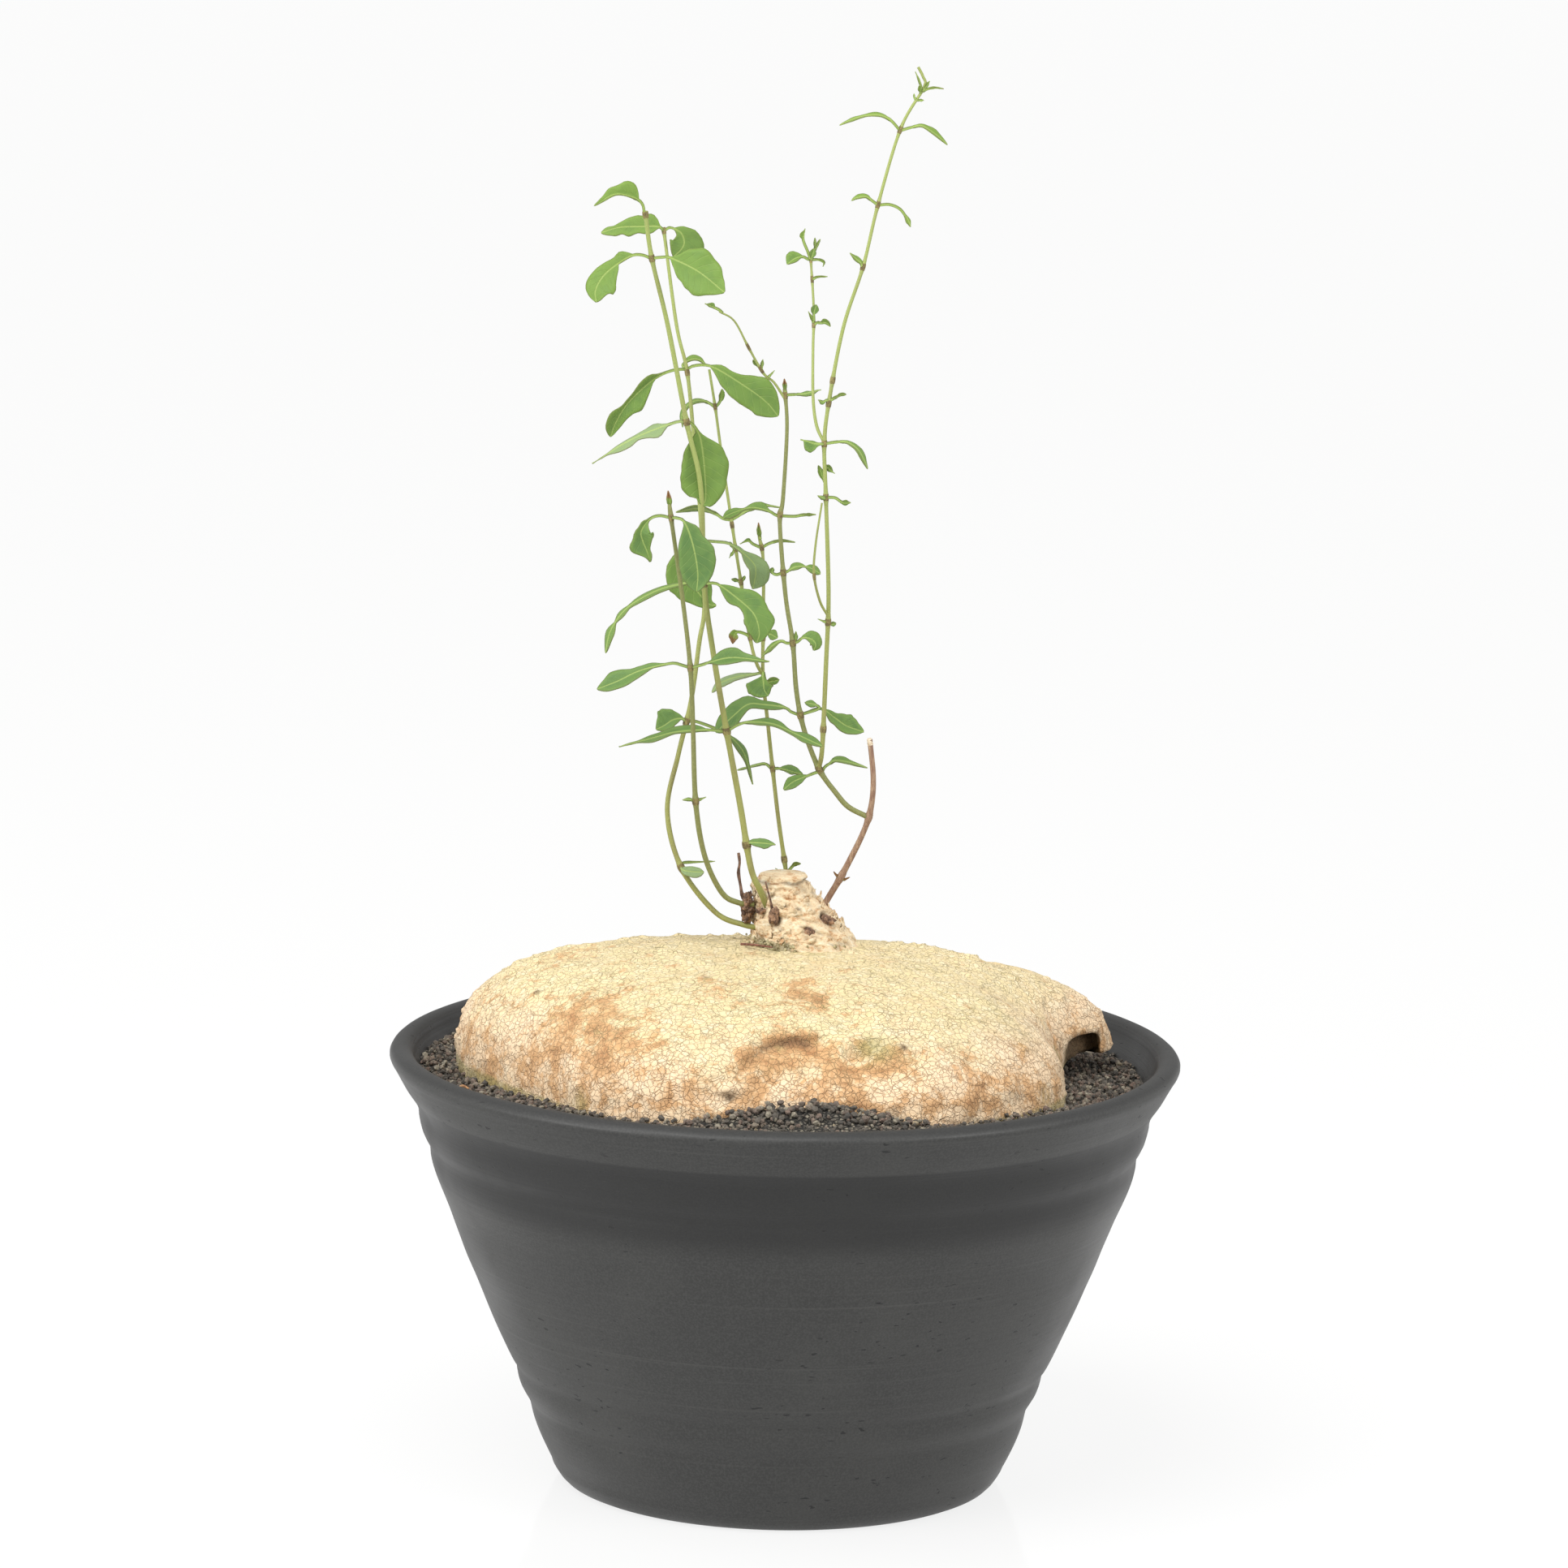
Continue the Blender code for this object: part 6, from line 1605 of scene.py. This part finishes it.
def leaf_mesh(name, stem, height, offsets, stalk, left, right, near, tone, finish=0.0):
    """A stalked blade along its midrib, its halves as wide as given and tilted towards the front."""
    right = right or left
    node, along, stem_radius = stem_at(*stem, height)
    route = [node + Vector(offset) for offset in offsets]
    start = node + sideways(route[0] - node, along) * stem_radius * 0.5
    midrib = walk(spline_points([start] + route, 0.4))
    bm = bmesh.new()
    bmesh.ops.create_grid(bm, x_segments=8, y_segments=LEAF_ROWS, size=1.0)
    uv_layer = bm.loops.layers.uv.new("UVMap")
    layers = [bm.verts.layers.float.new(key) for key in ("tone", "dry", "bloom", "off", "rim")]
    deform = bm.verts.layers.deform.new()
    seed = Vector((height * 0.37, offsets[0][0] * 0.71, offsets[-1][2] * 0.53))
    reach = max(left + right)
    for corner in (loop for f in bm.faces for loop in f.loops):
        corner[uv_layer].uv = ((corner.vert.co.x + 1) / 2, share_at(corner.vert.co.y))
    for vertex in bm.verts:
        side, t = vertex.co.x, share_at(vertex.co.y)
        middle, run = midrib(t)
        hand = Vector((run.z, 0.0, -run.x)).normalized()
        widths, forward = (right, near[1]) if side > 0 else (left, near[0])
        blade = max(0.0, (t - stalk) / (1 - stalk))
        full = half_width(widths, blade)
        wave = noise.noise(seed + Vector((side * 0.7, t * 5.0, 0.0)))
        ripple = noise.noise(seed + Vector((side * 0.5, t * 11.0, 4.0)))
        half = max(STALK_HALF * (1 - blade), full * (1 + 0.10 * ripple), 0.1)
        tilt = forward * full / max(widths) * abs(side) ** 1.3
        bend = (0.10 * reach * wave + 0.05 * reach * ripple) * abs(side) * ease(0.0, 0.3, blade)
        vertex.co = (middle + hand * side * half + NEARER * (1.3 * tilt + bend)) * MM
        # Below 0, finish gives the paler underside colour and painted sheen
        values = (tone, max(0.0, finish), max(0.0, -finish), half * abs(side), half * (1 - abs(side)))
        for layer, value in zip(layers, values):
            vertex[layer] = value
        vertex[deform][0] = 1 - ease(stalk * 0.7, stalk * 1.3, t)
    return mesh_from(name, bm)


class RAPHIONACME_OT_leaves(bpy.types.Operator):
    """Grows every leaf on its joint, from the large lower ones to the buds"""
    bl_idname = "raphionacme.leaves"
    bl_label = "Leaves"

    def execute(self, context):
        look = context.scene.raphionacme_leaf
        green = leaf_green(look)
        stems = grown_stems()
        for name, (stem, *values) in LEAVES.items():
            self.add_leaf(name + "_blade", stems[stem], values, green, look, [name])
        for name, (stem, *values) in SMALL_LEAVES.items():
            self.add_leaf(name, stems[stem], values, green, look, [])
        return {"FINISHED"}

    def add_leaf(self, name, stem, values, green, look, replaces):
        """A leaf as thick as the look says, with a thicker stalk."""
        made = piece(name, leaf_mesh(name, stem, *values), green, replaces)
        made.vertex_groups.new(name="stalk")
        body = made.modifiers.new("Thickness", "SOLIDIFY")
        body.thickness = STALK_THICKNESS
        body.offset = 0.0
        body.vertex_group = "stalk"
        body.thickness_vertex_group = look.thickness / body.thickness


# ---------------------------------------------------------------------------------------------
# Panel and registration
# ---------------------------------------------------------------------------------------------

class RAPHIONACME_PT_panel(bpy.types.Panel):
    """Lists the steps and the looks of the potted raphionacme"""
    bl_idname = "RAPHIONACME_PT_panel"
    bl_label = "Raphionacme"
    bl_space_type = "VIEW_3D"
    bl_region_type = "UI"
    bl_category = "Raphionacme"

    def draw(self, context):
        for operator in OPERATORS:
            self.layout.operator(operator.bl_idname)
        for attribute_name, group in LOOKS.items():
            box = self.layout.box()
            box.label(text=group.__name__)
            for key in group.__annotations__:
                box.prop(getattr(context.scene, attribute_name), key)


LOOKS = {
    "raphionacme_stage": StageLook, "raphionacme_pot": PotLook, "raphionacme_grit": GritLook,
    "raphionacme_tuber": TuberLook, "raphionacme_stem": StemLook, "raphionacme_leaf": LeafLook,
}
OPERATORS = (
    RAPHIONACME_OT_stage, RAPHIONACME_OT_pot, RAPHIONACME_OT_grit, RAPHIONACME_OT_tuber,
    RAPHIONACME_OT_stems, RAPHIONACME_OT_leaves,
)


def register():
    for made in (*LOOKS.values(), *OPERATORS, RAPHIONACME_PT_panel):
        bpy.utils.register_class(made)
    for name, group in LOOKS.items():
        setattr(bpy.types.Scene, name, PointerProperty(type=group))


def unregister():
    for name in LOOKS:
        delattr(bpy.types.Scene, name)
    for made in (RAPHIONACME_PT_panel, *reversed(OPERATORS), *reversed(LOOKS.values())):
        bpy.utils.unregister_class(made)


def main():
    register()
    bpy.ops.raphionacme.stage()
    bpy.ops.raphionacme.pot()
    bpy.ops.raphionacme.grit()
    bpy.ops.raphionacme.tuber()
    bpy.ops.raphionacme.stems()
    bpy.ops.raphionacme.leaves()


if __name__ == "__main__":
    main()
